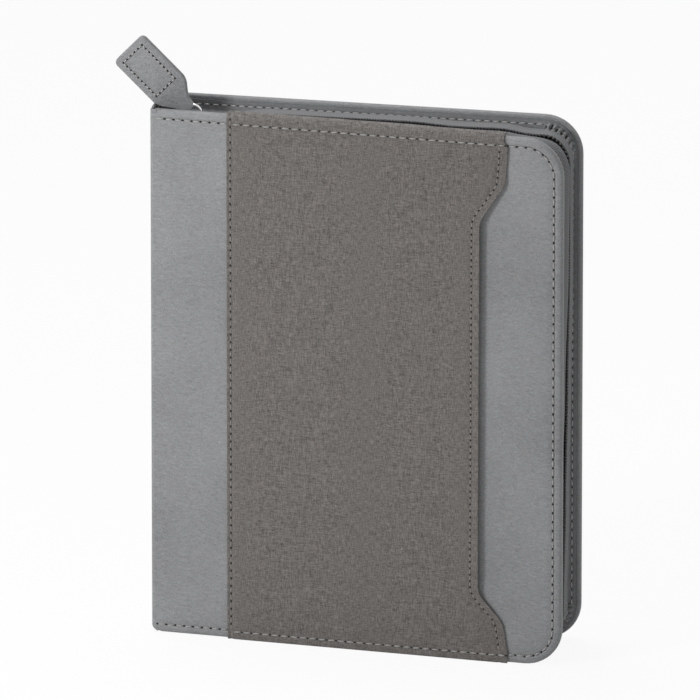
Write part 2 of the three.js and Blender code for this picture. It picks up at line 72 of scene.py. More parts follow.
camera.data.lens = FOCAL_PIXELS * SENSOR / FRAME_PIXELS
camera.data.clip_end = 100
camera.location = AIM + away * DISTANCE
camera.rotation_euler = away.to_track_quat("Z", "Y").to_euler()
bpy.context.scene.collection.objects.link(camera)
bpy.context.scene.camera = camera


# Lamps. A lamp close by on the left models the covers, one over the top lights the rims, and a
# weak broad one fills from the right. A pale surrounding keeps the shadows open.
SURROUND = 0.34
LAMPS = (
    ("key_lamp", (-0.48, -0.62, 0.47), 0.2, 4.2),
    ("fill_lamp", (1.6, -1.4, 0.7), 1.4, 0.8),
    ("top_lamp", (-0.2, 0.3, 1.6), 0.7, 10),
)
for lamp_name, spot, width, power in LAMPS:
    light = bpy.data.lights.new(lamp_name, "AREA")
    light.energy = power
    light.size = width
    lamp = bpy.data.objects.new(lamp_name, light)
    lamp.location = spot
    lamp.rotation_euler = (Vector(spot) - AIM).to_track_quat("Z", "Y").to_euler()
    bpy.context.scene.collection.objects.link(lamp)
bpy.context.scene.view_settings.view_transform = "Standard"


# Floor and surroundings. A plain white sheet takes the folder's soft shadow, and what lies past
# it shows white to the camera and in the metal.
FLOOR_HALF = 3
FLOOR_WHITE = (0.9, 0.9, 0.9, 1)
SHADOW_SHARE = 0.08


class Value:
    """An output of a shader node. Arithmetic on it adds the Math nodes."""

    def __init__(self, paint, output):
        self.paint = paint
        self.output = output

    def maths(self, operation, *values):
        return self.paint.node("ShaderNodeMath", {"operation": operation}, dict(enumerate(values)))

    def __add__(self, other):
        return self.maths("ADD", self, other)

    def __radd__(self, other):
        return self.maths("ADD", other, self)

    def __sub__(self, other):
        return self.maths("SUBTRACT", self, other)

    def __rsub__(self, other):
        return self.maths("SUBTRACT", other, self)

    def __mul__(self, other):
        return self.maths("MULTIPLY", self, other)

    def __rmul__(self, other):
        return self.maths("MULTIPLY", other, self)

    def between(self, low, high):
        """0 at low, 1 at high, and straight from one to the other."""
        return self.paint.node("ShaderNodeMapRange", {},
                               {"Value": self, "From Min": low, "From Max": high})


class Paint:
    """A material under construction, with its nodes added one at a time."""

    def __init__(self, name, tree=None):
        if tree is None:
            self.material = bpy.data.materials.new(name)
            self.material.use_nodes = True
            tree = self.material.node_tree
        self.tree = tree
        self.shader = tree.nodes.get("Principled BSDF")

    def node(self, kind, settings=None, values=None, output=0):
        made = self.tree.nodes.new(kind)
        for key, value in (settings or {}).items():
            setattr(made, key, value)
        for key, value in (values or {}).items():
            self.feed(made.inputs[key], value)
        return Value(self, made.outputs[output])

    def feed(self, socket, value):
        if isinstance(value, Value):
            self.tree.links.new(value.output, socket)
        else:
            socket.default_value = value

    def spot(self, stretch=(1, 1, 1), turn=0):
        """The point on the object in millimetres, stretched by dividing each axis."""
        where = self.node("ShaderNodeTexCoord", output="Object")
        return self.node("ShaderNodeMapping", {}, {"Vector": where, "Rotation": (0, turn, 0),
                                                  "Scale": [1000 / s for s in stretch]})

    def cut(self, stretch=(1, 1), turn=0):
        """The point on the flat cut piece in millimetres, for cloth that follows a route."""
        where = self.node("ShaderNodeUVMap", {"uv_map": "cut"})
        scale = (1000 / stretch[0], 1000 / stretch[1], 1)
        return self.node("ShaderNodeMapping", {}, {"Vector": where, "Rotation": (0, 0, turn),
                                                  "Scale": scale})

    def cloud(self, where, detail=2.0, roughness=0.5):
        """Noise at a point, or over the object with spots of a size in millimetres."""
        if isinstance(where, tuple):
            where = self.spot(where)
        return self.node("ShaderNodeTexNoise", {}, {"Vector": where, "Scale": 1.0, "Detail": detail,
                                                   "Roughness": roughness})

    def axis(self, where, name):
        return self.node("ShaderNodeSeparateXYZ", {}, {"Vector": where}, output=name)

    def ribs(self, where, name, pitch):
        """Waves from -1 to 1 along one axis, so many millimetres apart."""
        phase = self.axis(where, name) * (2 * math.pi / pitch)
        return phase.maths("SINE", phase)

    def mix(self, share, first, second):
        return self.node("ShaderNodeMix", {"data_type": "RGBA"}, {0: share, 6: first, 7: second},
                         output=2)

    def finish(self, colour, roughness, height=None, depth=0.1, **fixed):
        """Joins colour, roughness and a relief of depth millimetres to the shader."""
        self.feed(self.shader.inputs["Base Color"], colour)
        self.feed(self.shader.inputs["Roughness"], roughness)
        if height is not None:
            relief = self.node("ShaderNodeBump", {}, {"Height": height, "Distance": depth / 1000})
            self.feed(self.shader.inputs["Normal"], relief)
        for key, value in fixed.items():
            self.shader.inputs[key.replace("_", " ")].default_value = value
        return self.material


studio = bpy.data.worlds.new("studio")
bpy.context.scene.world = studio
studio.use_nodes = True
air = Paint("studio", studio.node_tree)
background = studio.node_tree.nodes["Background"]
background.inputs["Color"].default_value = (1, 1, 1, 1)


def shown_plainly(paint):
    """1 where the camera, a mirror or a glass looks, 0 for the light that falls on the object."""
    seen = paint.node("ShaderNodeLightPath", output="Is Camera Ray")
    mirrored = paint.node("ShaderNodeLightPath", output="Is Glossy Ray")
    through = paint.node("ShaderNodeLightPath", output="Is Transmission Ray")
    return seen.maths("MAXIMUM", seen.maths("MAXIMUM", seen, mirrored), through)


air.feed(background.inputs["Strength"], SURROUND + shown_plainly(air) * (1 - SURROUND))
floor_shape = bmesh.new()
bmesh.ops.create_grid(floor_shape, x_segments=1, y_segments=1, size=FLOOR_HALF)
floor_mesh = bpy.data.meshes.new("floor")
floor_shape.to_mesh(floor_mesh)
floor_shape.free()
floor = bpy.data.objects.new("floor", floor_mesh)
bpy.context.scene.collection.objects.link(floor)
floor_paint = Paint("white_floor")
floor_paint.finish(FLOOR_WHITE, 0.9, Specular_IOR_Level=0.0)
glow = floor_paint.node("ShaderNodeEmission", {}, {"Color": (1, 1, 1, 1), "Strength": 1.0})
surface = floor_paint.node("ShaderNodeMixShader", {}, {
    0: shown_plainly(floor_paint) * (1 - SHADOW_SHARE),
    1: Value(floor_paint, floor_paint.shader.outputs[0]),
    2: glow})
floor_paint.feed(floor_paint.tree.nodes["Material Output"].inputs["Surface"], surface)
floor_mesh.materials.append(floor_paint.material)


# Back cover. Smooth grey leather-look sheet is turned over a board: a flat slab with two large
# corners, a rolled rim, and a line where the edge seam pulls the sheet down.
MM = 0.001
LEATHER_DARK = (0.14, 0.142, 0.146, 1)
LEATHER_LIGHT = (0.37, 0.375, 0.382, 1)
back_low, back_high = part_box("back_skin")
COVER_LEFT = 0.3 * MM
FORE_EDGE = back_high.x
TOP = back_high.z
OUTER = back_high.y
INNER = back_low.y
CORNER = 17 * MM
CORNER_STEPS = 12
RIM_OUT = 2.0 * MM
RIM_IN = 1.2 * MM
TRAY_WALL = 1.5 * MM
TRAY_DEPTH = 3 * MM
LIP_END = 3.2 * MM
TURNED_IN = 2.0 * MM
FOOT_ROUND = 5.2 * MM
HEAD_ROUND = 1.4 * MM
HINGE_SIDE = -2 * MM
SEAM_IN = 3.9 * MM
SEAM_HALF = 0.8 * MM
SEAM_SINK = 0.3 * MM
SEAM_SWELL = 0.2 * MM
PLUMP = 0.3 * MM
LEAST_ROUND = 8 * MM


def leather_paint(name, dark, light, gloss=0.47, grain=0.15):
    """Fine pebble grain, faint creases across it, soft rumples, and a slow change of shade."""
    paint = Paint(name)
    patches = paint.cloud((38, 38, 38), 3)
    drape = paint.cloud(paint.spot((26, 12, 9), 0.7), 1)
    creases = paint.cloud(paint.spot((2.4, 1.2, 0.8), 0.6), 3, 0.6)
    grain_spots = paint.cloud((0.45, 0.45, 0.45), 2, 0.7)
    share = (patches.between(0.3, 0.7) * 0.2 + creases.between(0.3, 0.7) * 0.3
             + grain_spots.between(0.3, 0.7) * 0.5)
    height = grain_spots * 0.7 + creases * 0.9 + drape * 3.5
    return paint.finish(paint.mix(share, dark, light), gloss + creases * 0.12, height, grain,
                        Specular_IOR_Level=0.4)


grey_leather = leather_paint("grey_leather", LEATHER_DARK, LEATHER_LIGHT)


def spread(low, high, step):
    """Even values from low to high, about so far apart."""
    count = max(round((high - low) / step), 1)
    return [low + (high - low) * i / count for i in range(count + 1)]


def outline_ring(work, inset, depth, hinge_inset):
    """A ring of points on the cover's outline drawn in by inset: along the foot, round the two
    corners of the fore edge and back along the head to the spine end."""
    radius = max(CORNER - inset, LEAST_ROUND)
    near_spine = [x + hinge_inset for x in spread(COVER_LEFT, HINGE_SIDE + FOOT_ROUND, 0.5 * MM)]
    spots = [(x, inset) for x in near_spine]
    for centre_z, first in ((inset + radius, -90), (TOP - inset - radius, 0)):
        for i in range(CORNER_STEPS + 1):
            a = math.radians(first + 90 * i / CORNER_STEPS)
            spots.append((FORE_EDGE - inset - radius + radius * math.cos(a),
                          centre_z + radius * math.sin(a)))
    spots += [(x, TOP - inset) for x in reversed(near_spine)]
    return [work.verts.new((x, depth, z)) for x, z in spots]


def stacked(work, profile):
    """A closed slab through the outline's rings, each of them at an (inset, depth, hinge inset)."""
    rings = [outline_ring(work, *ring) for ring in profile]
    for near, far in zip(rings, rings[1:]):
        for i, vert in enumerate(near):
            work.faces.new((near[i - 1], vert, far[i], far[i - 1]))
    for end in (rings[0], rings[-1]):
        work.faces.new(end)


def finished(work, name, paint, body, node=None, turn=None, smooth=40, merge=1e-6):
    """Makes the worked mesh an object, smooth but for its real edges. It rides on the body and
    stands for the node, and turn brings it to its place."""
    if turn:
        bmesh.ops.transform(work, verts=work.verts, matrix=turn)
    bmesh.ops.remove_doubles(work, verts=work.verts, dist=merge)
    bmesh.ops.recalc_face_normals(work, faces=work.faces)
    work.edges.index_update()
    open_edges = [edge.index for edge in work.edges if edge.is_boundary]
    mesh = bpy.data.meshes.new(name)
    work.to_mesh(mesh)
    work.free()
    mesh.shade_smooth()
    mesh.set_sharp_from_angle(angle=math.radians(smooth))
    for index in open_edges:
        mesh.edges[index].use_edge_sharp = True
    for one in paint if isinstance(paint, tuple) else (paint,):
        mesh.materials.append(one)
    piece = bpy.data.objects.new(name, mesh)
    bpy.context.scene.collection.objects.link(piece)
    if body:
        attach(piece, body)
    if node:
        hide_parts(node)
    return piece


def rounded_end(radius, reach):
    """How far an end is drawn in, so far from the outer side of its rounded corner."""
    if reach >= radius:
        return 0.0
    return radius - math.sqrt(radius * radius - (radius - max(reach, 0.0)) ** 2)


def rounded_height(x, z):
    """A height on a piece near the hinge line, drawn in towards its rounded foot and head."""
    foot = rounded_end(FOOT_ROUND, x - HINGE_SIDE)
    head = TOP - rounded_end(HEAD_ROUND, x - HINGE_SIDE)
    return foot + (head - foot) * z / TOP


def cover_leather():
    """The leather of a cover, drawn as the back one: a tray that holds the board and lining. The
    outer face's relief fades towards the hinge."""
    work = bmesh.new()
    turns = [math.radians(18 * i) for i in range(6)]
    profile = [(TRAY_WALL, INNER + TRAY_DEPTH, LIP_END),
               (TRAY_WALL, INNER + 1.15 * MM, LIP_END),
               (TURNED_IN, INNER + 1.0 * MM, LIP_END), (TURNED_IN, INNER + 0.2 * MM, LIP_END),
               (TURNED_IN - 0.2 * MM, INNER, LIP_END - 0.2 * MM)]
    profile += [(RIM_IN - RIM_IN * math.sin(a), INNER + RIM_IN - RIM_IN * math.cos(a), 0)
                for a in turns]
    profile += [(RIM_OUT - RIM_OUT * math.cos(a), OUTER - RIM_OUT + RIM_OUT * math.sin(a), 0)
                for a in turns]
    profile += [((RIM_OUT + SEAM_IN - SEAM_HALF) / 2, OUTER + SEAM_SWELL, 0.05 * MM),
                (SEAM_IN - SEAM_HALF, OUTER, 0.1 * MM), (SEAM_IN, OUTER - SEAM_SINK, 0.2 * MM),
                (SEAM_IN + SEAM_HALF, OUTER, 0.3 * MM),
                (SEAM_IN + 4 * MM, OUTER + PLUMP * 0.7, 4.5 * MM),
                (SEAM_IN + 11 * MM, OUTER + PLUMP, 11 * MM)]
    stacked(work, profile)
    for vert in work.verts:
        if vert.co.y > OUTER - SEAM_SINK * 1.1:
            fade = min(1.0, (vert.co.x - COVER_LEFT) / SEAM_IN)
            vert.co.y = OUTER + (vert.co.y - OUTER) * fade
        vert.co.z = rounded_height(vert.co.x, vert.co.z)
    return work


finished(cover_leather(), "back_leather", grey_leather, "back_cover", "back_skin")


# Stitching. Lockstitch in grey thread runs round each cover: short slanting threads on the
# surface, and between one and the next a near-black mark, painted shade for the needle hole.
THREAD_THICK = 0.75 * MM
THREAD_RISE = 0.46 * MM
THREAD_SHARE = 0.74
THREAD_PROUD = 0.1 * MM
LEAST_SWAY, MOST_SWAY = -0.05, 0.12
HOLE_WIDE = 1.2 * MM
HOLE_SQUEEZE = 0.42
HOLE_RISE = 0.22 * MM
COVER_PITCH = 4.1 * MM
STITCH_START = 0.9 * MM
ROUTE_STEPS = 10


def thread_paint(name, dark, light, roughness=0.6):
    """Twisted thread: slanting plies, with painted shade darkening the grooves between them."""
    paint = Paint(name)
    ply = paint.ribs(paint.spot(turn=0.6), "X", 0.42)
    return paint.finish(paint.mix(ply.between(-1, 1), dark, light), roughness, ply, 0.06)


grey_thread = thread_paint("grey_thread", (0.35, 0.346, 0.338, 1), (0.56, 0.555, 0.54, 1))
# Each needle hole is a near-black bead on the surface, a little mottled: painted shade for the dark
# inside the hole.
hole_shade_paint = Paint("needle_hole")
hole_shade_mottle = hole_shade_paint.cloud((0.3, 0.3, 0.3), 2)
needle_hole = hole_shade_paint.finish(
    hole_shade_paint.mix(hole_shade_mottle, (0.006, 0.006, 0.006, 1), (0.02, 0.02, 0.02, 1)), 0.9)


def walk(route, pitch):
    """Even steps along a route of points: the place and the direction at the middle of each."""
    lengths = [(b - a).length for a, b in zip(route, route[1:])]
    count = max(int(sum(lengths) / pitch), 1)
    step = sum(lengths) / count
    passed, leg = 0.0, 0
    for i in range(count):
        goal = (i + 0.5) * step
        while passed + lengths[leg] < goal:
            passed += lengths[leg]
            leg += 1
        along = (route[leg + 1] - route[leg]).normalized()
        yield route[leg] + along * (goal - passed), along, step


bead = bmesh.new()
bmesh.ops.create_uvsphere(bead, u_segments=6, v_segments=5, radius=1)


def stamp(work, shape, pose, kind=0):
    """Adds a copy of a small finished shape to the work, placed by the pose."""
    copies = {vert: work.verts.new(pose @ vert.co) for vert in shape.verts}
    for face in shape.faces:
        work.faces.new([copies[vert] for vert in face.verts]).material_index = kind


def placed(spot, along, across, up, size):
    """The pose of a small shape: its centre, its three directions and its half sizes."""
    pose = Matrix((along, across, up)).transposed().to_4x4()
    pose.translation = spot
    return pose @ Matrix.Diagonal((*size, 1))


def sew(name, routes, outward, body, pitch=COVER_PITCH, thread=grey_thread, turn=None, seed=1,
        hole=1.0):
    """Sews lockstitch along each route, on a surface that faces outward."""
    work = bmesh.new()
    chance = random.Random(seed)
    up = Vector(outward)
    for route in routes:
        for spot, along, step in walk([Vector(p) for p in route], pitch):
            sway = chance.uniform(LEAST_SWAY, MOST_SWAY)
            across = up.cross(along).normalized()
            slant = (along + across * sway).normalized()
            across = up.cross(slant).normalized()
            thread_size = (step * THREAD_SHARE / 2, THREAD_THICK / 2, THREAD_RISE)
            stamp(work, bead, placed(spot + up * THREAD_PROUD, slant, across, up, thread_size))
            hole_size = (HOLE_WIDE / 2 * hole, HOLE_WIDE * HOLE_SQUEEZE * hole, HOLE_RISE)
            stamp(work, bead, placed(spot + along * step / 2, slant, across, up, hole_size), 1)
    finished(work, name, (thread, needle_hole), body, turn=turn, merge=1e-9)


def edge_route(depth):
    """Points round a cover, from its spine end along the top, down the fore edge and back."""
    radius = CORNER - SEAM_IN
    points = [Vector((STITCH_START, depth, TOP - SEAM_IN))]
    for centre_z, turn in ((TOP - CORNER, 90), (CORNER, 0)):
        for i in range(ROUTE_STEPS + 1):
            a = math.radians(turn - 90 * i / ROUTE_STEPS)
            points.append(Vector((FORE_EDGE - CORNER + radius * math.cos(a), depth,
                                  centre_z + radius * math.sin(a))))
    points.append(Vector((STITCH_START, depth, SEAM_IN)))
    return points


sew("back_edge_stitches", [edge_route(OUTER)], (0, 1, 0), "back_cover")


# Front cover. It is the back cover's mirror image, standing a few degrees ajar on its fold. Its
# pieces are drawn with the folder closed and then turned about the front hinge line.
HINGES = {joint["name"]: joint for joint in frame["joints"]}
front_hinge = Vector(HINGES["cover_open"]["pos_m"])
AJAR = (Matrix.Translation(front_hinge)
        @ Matrix.Rotation(math.radians(HINGES["cover_open"]["range_deg"][0]), 4, "Z")
        @ Matrix.Translation(-front_hinge))
work = cover_leather()
bmesh.ops.scale(work, verts=work.verts, vec=(1, -1, 1))
front_cover = finished(work, "front_leather", grey_leather, "front_cover", "front_skin",
                       AJAR)
sew("front_edge_stitches", [edge_route(-OUTER)], (0, -1, 0), "front_cover", turn=AJAR, seed=2)


# Spine. One strip of the same leather runs over a narrow board between two soft folds, on
# which the covers turn. Its corners are rounded off where it meets the covers' ends.
SPINE_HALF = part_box("spine_skin")[1].y
FOLD_R = 2 * MM
HINGE_Y = HINGES["spine_fold"]["pos_m"][1]
STRIP_THICK = 0.9 * MM
SPINE_CROWN = 0.25 * MM


def sheet_piece(name, paint, body, node, across, along, place, thickness, turn=None,
                smooth=60, even=True):
    """A sheet with a line at each value of across and along, every point put where place says,
    and the area it was cut to. The values are kept on it as a flat cut, for weaves that follow
    the sheet, and its thickness goes half to each side."""
    work = bmesh.new()
    columns, rows = len(across) - 1, len(along) - 1
    made = bmesh.ops.create_grid(work, x_segments=columns, y_segments=rows, size=1)
    flat = {}
    for vert in made["verts"]:
        a = across[round((vert.co.x + 1) / 2 * columns)]
        b = along[round((vert.co.y + 1) / 2 * rows)]
        flat[vert] = (a if isinstance(a, float) else a[0], b)
        vert.co = place(a, b)
    cut = work.loops.layers.uv.new("cut")
    for face in work.faces:
        for loop in face.loops:
            loop[cut].uv = flat[loop.vert]
    area = sum(face.calc_area() for face in work.faces)
    piece = finished(work, name, paint, body, node, turn, smooth)
    wall = piece.modifiers.new("thickness", "SOLIDIFY")
    wall.thickness = thickness
    wall.offset = 0
    wall.use_even_offset = even
    return piece, area


def fold_section(turn):
    """A fold's middle line in plan: off the spine, round the hinge line, and onto the cover."""
    mid = FOLD_R - STRIP_THICK / 2
    if turn < 0:
        return Vector((-mid, HINGE_Y + turn, 0))
    if turn > math.pi / 2:
        return Vector((turn - math.pi / 2, HINGE_Y + mid - 0.03 * MM, 0))
    return Vector((-mid * math.cos(turn), HINGE_Y + mid * math.sin(turn), 0))


FOLD_TURNS = [-2.6 * MM, -1.2 * MM] + [math.pi / 2 * i / 8 for i in range(9)] + [
    math.pi / 2 + 0.4 * MM, math.pi / 2 + 1.0 * MM]
SHARES = [0.0, 0.004, 0.009, 0.015, 0.022] + spread(0.04, 0.96, 0.04) + [
    0.978, 0.985, 0.991, 0.996, 1.0]


def fold(name, side, node):
    """One soft fold, at the back hinge line for side 1 and at the front one for -1."""
    def place(turn, share):
        spot = fold_section(turn)
        spot.z = rounded_height(spot.x, share * TOP)
        return spot

    mirror = Matrix.Diagonal((1, side, 1, 1))
    piece, _ = sheet_piece(name, grey_leather, None, node, FOLD_TURNS, SHARES, place,
                           STRIP_THICK, mirror)
    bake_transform(piece)


fold("rear_fold_leather", 1, "rear_fold")
fold("front_fold_leather", -1, "front_fold")


def spine_place(y, share):
    """The spine's slightly crowned strip, its corners drawn in."""
    foot = rounded_end(FOOT_ROUND, min((SPINE_HALF - abs(y)) * 0.9, FOOT_ROUND))
    crown = SPINE_CROWN * (1 - (y / SPINE_HALF) ** 2)
    return Vector((-FOLD_R + STRIP_THICK / 2 - crown, y, foot + (TOP - foot) * share))


sheet_piece("spine_leather", grey_leather, "spine", "spine_skin",
            spread(-SPINE_HALF, SPINE_HALF, 1.2 * MM), SHARES, spine_place, STRIP_THICK)


# Outside slip pocket. Heathered warm-grey cloth lies over the middle of the front cover and wraps
# its top and foot, and is sewn down at its left, head and foot. Its stepped fore edge is hemmed
# and stands off a little as the mouth.
POCKET_LEFT = 33.6 * MM
POCKET_MOUTH = [(-9, 161.2), (1.0, 161.6), (3.2, 162.0), (18.6, 159.8), (31.4, 148.8),
                (201.8, 149.2), (218.3, 160.4), (236.0, 161.4), (238.2, 159.4), (249, 159.4)]
MOUTH_SOFT = 2.8
MOUTH_FOOT, MOUTH_HEAD = 2, 237
CUT_WIDE = 124 * MM
LEFT_STRIP = 12 * MM
MOUTH_STRIP = 9 * MM
MIDDLE_STRIPS = 26
FIRST_ROW = 7 * MM
FOOT_STEP_TOP = 44 * MM
HEAD_STEP_FOOT = TOP - 52 * MM
STEP_ROWS = 1.1 * MM
PLAIN_ROWS = 4 * MM
CLOTH_THICK = 0.8 * MM
CLOTH_RISE = 0.75 * MM
CLOTH_PLUMP = 0.45 * MM
CLOTH_SEAM = 3.6 * MM
LEFT_SEAM = 1.7 * MM
MOUTH_SEAM = 3.6 * MM
SEAM_DIP = 0.42 * MM
MOUTH_LIFT = 2.0 * MM
GAPE_FROM = 14 * MM
GAPE_GROWS = 26 * MM
GAPE_DEEP = 11 * MM
CLOTH_DARK = (0.044, 0.04, 0.038, 1)
CLOTH_LIGHT = (0.33, 0.306, 0.288, 1)


def straight_mouth(z):
    """The fore edge at a height, both in millimetres, with sharp steps."""
    for (z0, x0), (z1, x1) in zip(POCKET_MOUTH, POCKET_MOUTH[1:]):
        if z <= z1:
            return x0 + (x1 - x0) * (z - z0) / (z1 - z0)
    return POCKET_MOUTH[-1][1]


def mouth_x(z):
    """The cloth's fore edge at a height, its steps turned to soft curves."""
    z = z / MM
    near = min(abs(z - MOUTH_FOOT), abs(z - MOUTH_HEAD))
    soft = min(MOUTH_SOFT, 0.4 + near * 0.45)
    samples = [straight_mouth(z + soft * i / 6) for i in range(-6, 7)]
    return sum(samples) / len(samples) * MM


def over_rim(t, lift):
    """Where a sheet at this lift lies at t along its way up the cover and over both rims."""
    radius = RIM_OUT + lift
    upper = t > TOP / 2
    t = t if upper else TOP - t
    turn = (t - (TOP - RIM_OUT)) / radius
    if turn <= 0:
        y, z = OUTER + lift, t
    elif turn < math.pi / 2:
        y, z = OUTER - RIM_OUT + radius * math.cos(turn), TOP - RIM_OUT + radius * math.sin(turn)
    else:
        y, z = OUTER - RIM_OUT - (turn - math.pi / 2) * radius, TOP + lift
    return y, (z if upper else TOP - z)


def dip(distance, width=0.85 * MM):
    """1 on a seam's line, falling to 0 so far beside it."""
    return math.exp(-(distance / width) ** 2)


def mouth_lift(t, inward):
    """How far the mouth stands off the leather, so far inward of its edge."""
    from_ends = min(t, TOP - t) - GAPE_FROM
    gape = max(0.0, min(1.0, from_ends / GAPE_GROWS))
    return MOUTH_LIFT * gape * math.exp(-inward / GAPE_DEEP)


def cloth_place(column, t):
    """The cloth at a column, told from the left, the mouth or between, and t up the cover."""
    _, side, offset = column
    z = min(max(t, 0.0), TOP)
    right = mouth_x(z)
    middle = right - MOUTH_STRIP - POCKET_LEFT - LEFT_STRIP
    x = {"left": POCKET_LEFT + offset, "right": right - offset,
         "middle": POCKET_LEFT + LEFT_STRIP + middle * offset}[side]
    from_left, from_right = x - POCKET_LEFT, right - x
    from_end = min(z, TOP - z)
    from_edges = min(from_left, from_right * 1.5, from_end)
    rise = CLOTH_RISE + CLOTH_PLUMP * min(1.0, from_edges / (12 * MM)) + mouth_lift(t, from_right)
    sink = max(dip(from_left - LEFT_SEAM), dip(from_end - CLOTH_SEAM) if t == z else 0,
               dip(from_right - MOUTH_SEAM) * 0.7)
    y, z = over_rim(t, rise - SEAM_DIP * sink)
    return Vector((x, -y, z))


CLOTH_COLUMNS = [(POCKET_LEFT + c * MM, "left", c * MM)
                 for c in (0, 0.4, 0.9, 1.3, 1.7, 2.1, 2.6, 3.4, 5, 8)]
CLOTH_COLUMNS += [(POCKET_LEFT + LEFT_STRIP + (CUT_WIDE - LEFT_STRIP - MOUTH_STRIP) * share,
                   "middle", share)
                  for share in spread(0, 1, 1 / MIDDLE_STRIPS)]
CLOTH_COLUMNS += [(POCKET_LEFT + CUT_WIDE - c * MM, "right", c * MM)
                  for c in (7, 5.4, 4.6, 4.1, 3.6, 3.1, 2.6, 1.6, 0.8, 0.3, 0)]
edge_rows = [0.3 * MM * i for i in range(-16, 21)]
CLOTH_ROWS = sorted(set(edge_rows + [TOP - row for row in edge_rows]
                        + spread(FIRST_ROW, FOOT_STEP_TOP, STEP_ROWS)
                        + spread(FOOT_STEP_TOP + 2 * MM, HEAD_STEP_FOOT - 2 * MM, PLAIN_ROWS)
                        + spread(HEAD_STEP_FOOT, TOP - FIRST_ROW, STEP_ROWS)))
cloth_paint = Paint("heathered_cloth")
warp = cloth_paint.cloud((0.32, 4, 2.8), 2, 0.6)
weft = cloth_paint.cloud((2.8, 4, 0.32), 2, 0.6)
slubs = cloth_paint.cloud((0.5, 2, 0.5), 3, 0.7)
upright = cloth_paint.ribs(cloth_paint.spot(), "X", 0.62)
level = cloth_paint.ribs(cloth_paint.spot(), "Z", 0.62)
heather = (warp.between(0.35, 0.65) * 0.34 + weft.between(0.35, 0.65) * 0.34
           + slubs.between(0.35, 0.65) * 0.32)
weave = upright * level * 0.5 + heather
heathered_cloth = cloth_paint.finish(cloth_paint.mix(heather, CLOTH_DARK, CLOTH_LIGHT), 0.9, weave,
                                     0.16, Specular_IOR_Level=0.2, Sheen_Weight=0.15)
slip_pocket, cloth_area = sheet_piece(
    "slip_pocket_cloth", heathered_cloth, "front_cover", "cloth_pocket", CLOTH_COLUMNS,
    CLOTH_ROWS, cloth_place, CLOTH_THICK, AJAR, smooth=70)


def on_cloth(x, t, sink=0.3 * MM):
    """A point on the cloth's outer face, for its stitches."""
    y, z = over_rim(t, CLOTH_RISE + CLOTH_THICK / 2 - sink)
    return Vector((x, -y, z))


# The upright left and mouth seams on the cloth take a darker, taupe copy of the thread: painted
# shade for the shade those runs lie in.
taupe_thread = thread_paint("taupe_thread", (0.24, 0.224, 0.21, 1), (0.4, 0.375, 0.352, 1), 0.7)
left_route = [on_cloth(POCKET_LEFT + LEFT_SEAM, t)
              for t in spread(CLOTH_SEAM, TOP - 1.5 * MM, 3 * MM)]
sew("pocket_left_stitches", [left_route], (0, -1, 0), "front_cover", pitch=3.5 * MM,
    thread=taupe_thread, turn=AJAR, seed=3)
mouth_route = [on_cloth(mouth_x(t) - MOUTH_SEAM, t, 0.1 * MM - mouth_lift(t, MOUTH_SEAM))
               for t in spread(CLOTH_SEAM + 2 * MM, TOP - CLOTH_SEAM, 1.5 * MM)]
sew("pocket_mouth_stitches", [mouth_route], (0, -1, 0), "front_cover", pitch=2.9 * MM,
    thread=taupe_thread, turn=AJAR, seed=4)
cloth_runs = [[on_cloth(x, t) for x in (POCKET_LEFT + 2.2 * MM, mouth_x(t) - 0.6 * MM)]
              for t in (CLOTH_SEAM, TOP - CLOTH_SEAM)]
sew("pocket_end_stitches", cloth_runs, (0, -1, 0), "front_cover", pitch=4.3 * MM, turn=AJAR, seed=5)


# Gusset. A strip of leather-look sheet, painted darker than the covers as painted shade for the
# shade inside the back cover's rim, is sewn flat inside the back cover's edge, turns forward there
# and carries the zip tape. Round the two corners its spare width lies in pleats.
ZIP_INSET = 7 * MM
BEND_R = CORNER - ZIP_INSET
RUN_END = FORE_EDGE - CORNER
SIDE_RUN = TOP - 2 * CORNER
BEND = BEND_R * math.pi / 2
BACK_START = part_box("back_zip_tape")[0].x
FRONT_START = 28 * MM
GUSSET_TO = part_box("back_zip_tape")[1].y
GUSSET_THICK = 0.8 * MM
FLANGE_OUT = 5.1 * MM
PLEATS = 8
PLEAT_DEEP = 1.7 * MM
FLANGE_SEAM = 3.1 * MM
BACK_WANDER = [(20, 0), (50, 4.6), (112, 5.0), (134, 4.0), (152, 4.3), (168, 2.4), (177, 4.0),
               (185, 4.5), (235, 4.6), (283, 4.0), (340, 3.2), (390, 2.4), (406, 1.5), (430, 0.5),
               (560, 0)]


def on_route(s, start, out=0.0):
    """The zip line's point at length s, moved outward, with its outward direction and its share
    of the bend, or -1 on a straight run."""
    run = RUN_END - start
    if s <= run:
        return Vector((start + s, 0, TOP - ZIP_INSET + out)), Vector((0, 0, 1)), -1.0
    s -= run
    for centre_z, first in ((TOP - CORNER, 90), (CORNER, 0)):
        if s <= BEND:
            a = math.radians(first) - s / BEND_R
            outward = Vector((math.cos(a), 0, math.sin(a)))
            return Vector((RUN_END, 0, centre_z)) + outward * (BEND_R + out), outward, s / BEND
        s -= BEND
        if first:
            if s <= SIDE_RUN:
                spot = Vector((RUN_END + BEND_R + out, 0, TOP - CORNER - s))
                return spot, Vector((1, 0, 0)), -1.0
            s -= SIDE_RUN
    return Vector((RUN_END - s, 0, ZIP_INSET - out)), Vector((0, 0, -1)), -1.0


def route_length(start):
    """How long the zip line is, from start round the three sides and back."""
    return 2 * (RUN_END - start) + 2 * BEND + SIDE_RUN


def route_stations(start, straight, bend_steps):
    """Lengths along the route: wide apart on the straight runs and close round the bends."""
    run = RUN_END - start
    marks = [0.0, run, run + BEND, run + BEND + SIDE_RUN, run + 2 * BEND + SIDE_RUN,
             route_length(start)]
    stations = []
    for i, (low, high) in enumerate(zip(marks, marks[1:])):
        step = BEND / bend_steps if i in (1, 3) else straight
        stations += spread(low, high, step)[:-1]
    return stations + [marks[-1]]


def smooth_step(low, high, value):
    """0 up to low and 1 from high on, with a soft rise between."""
    share = max(0.0, min(1.0, (value - low) / (high - low)))
    return share * share * (3 - 2 * share)


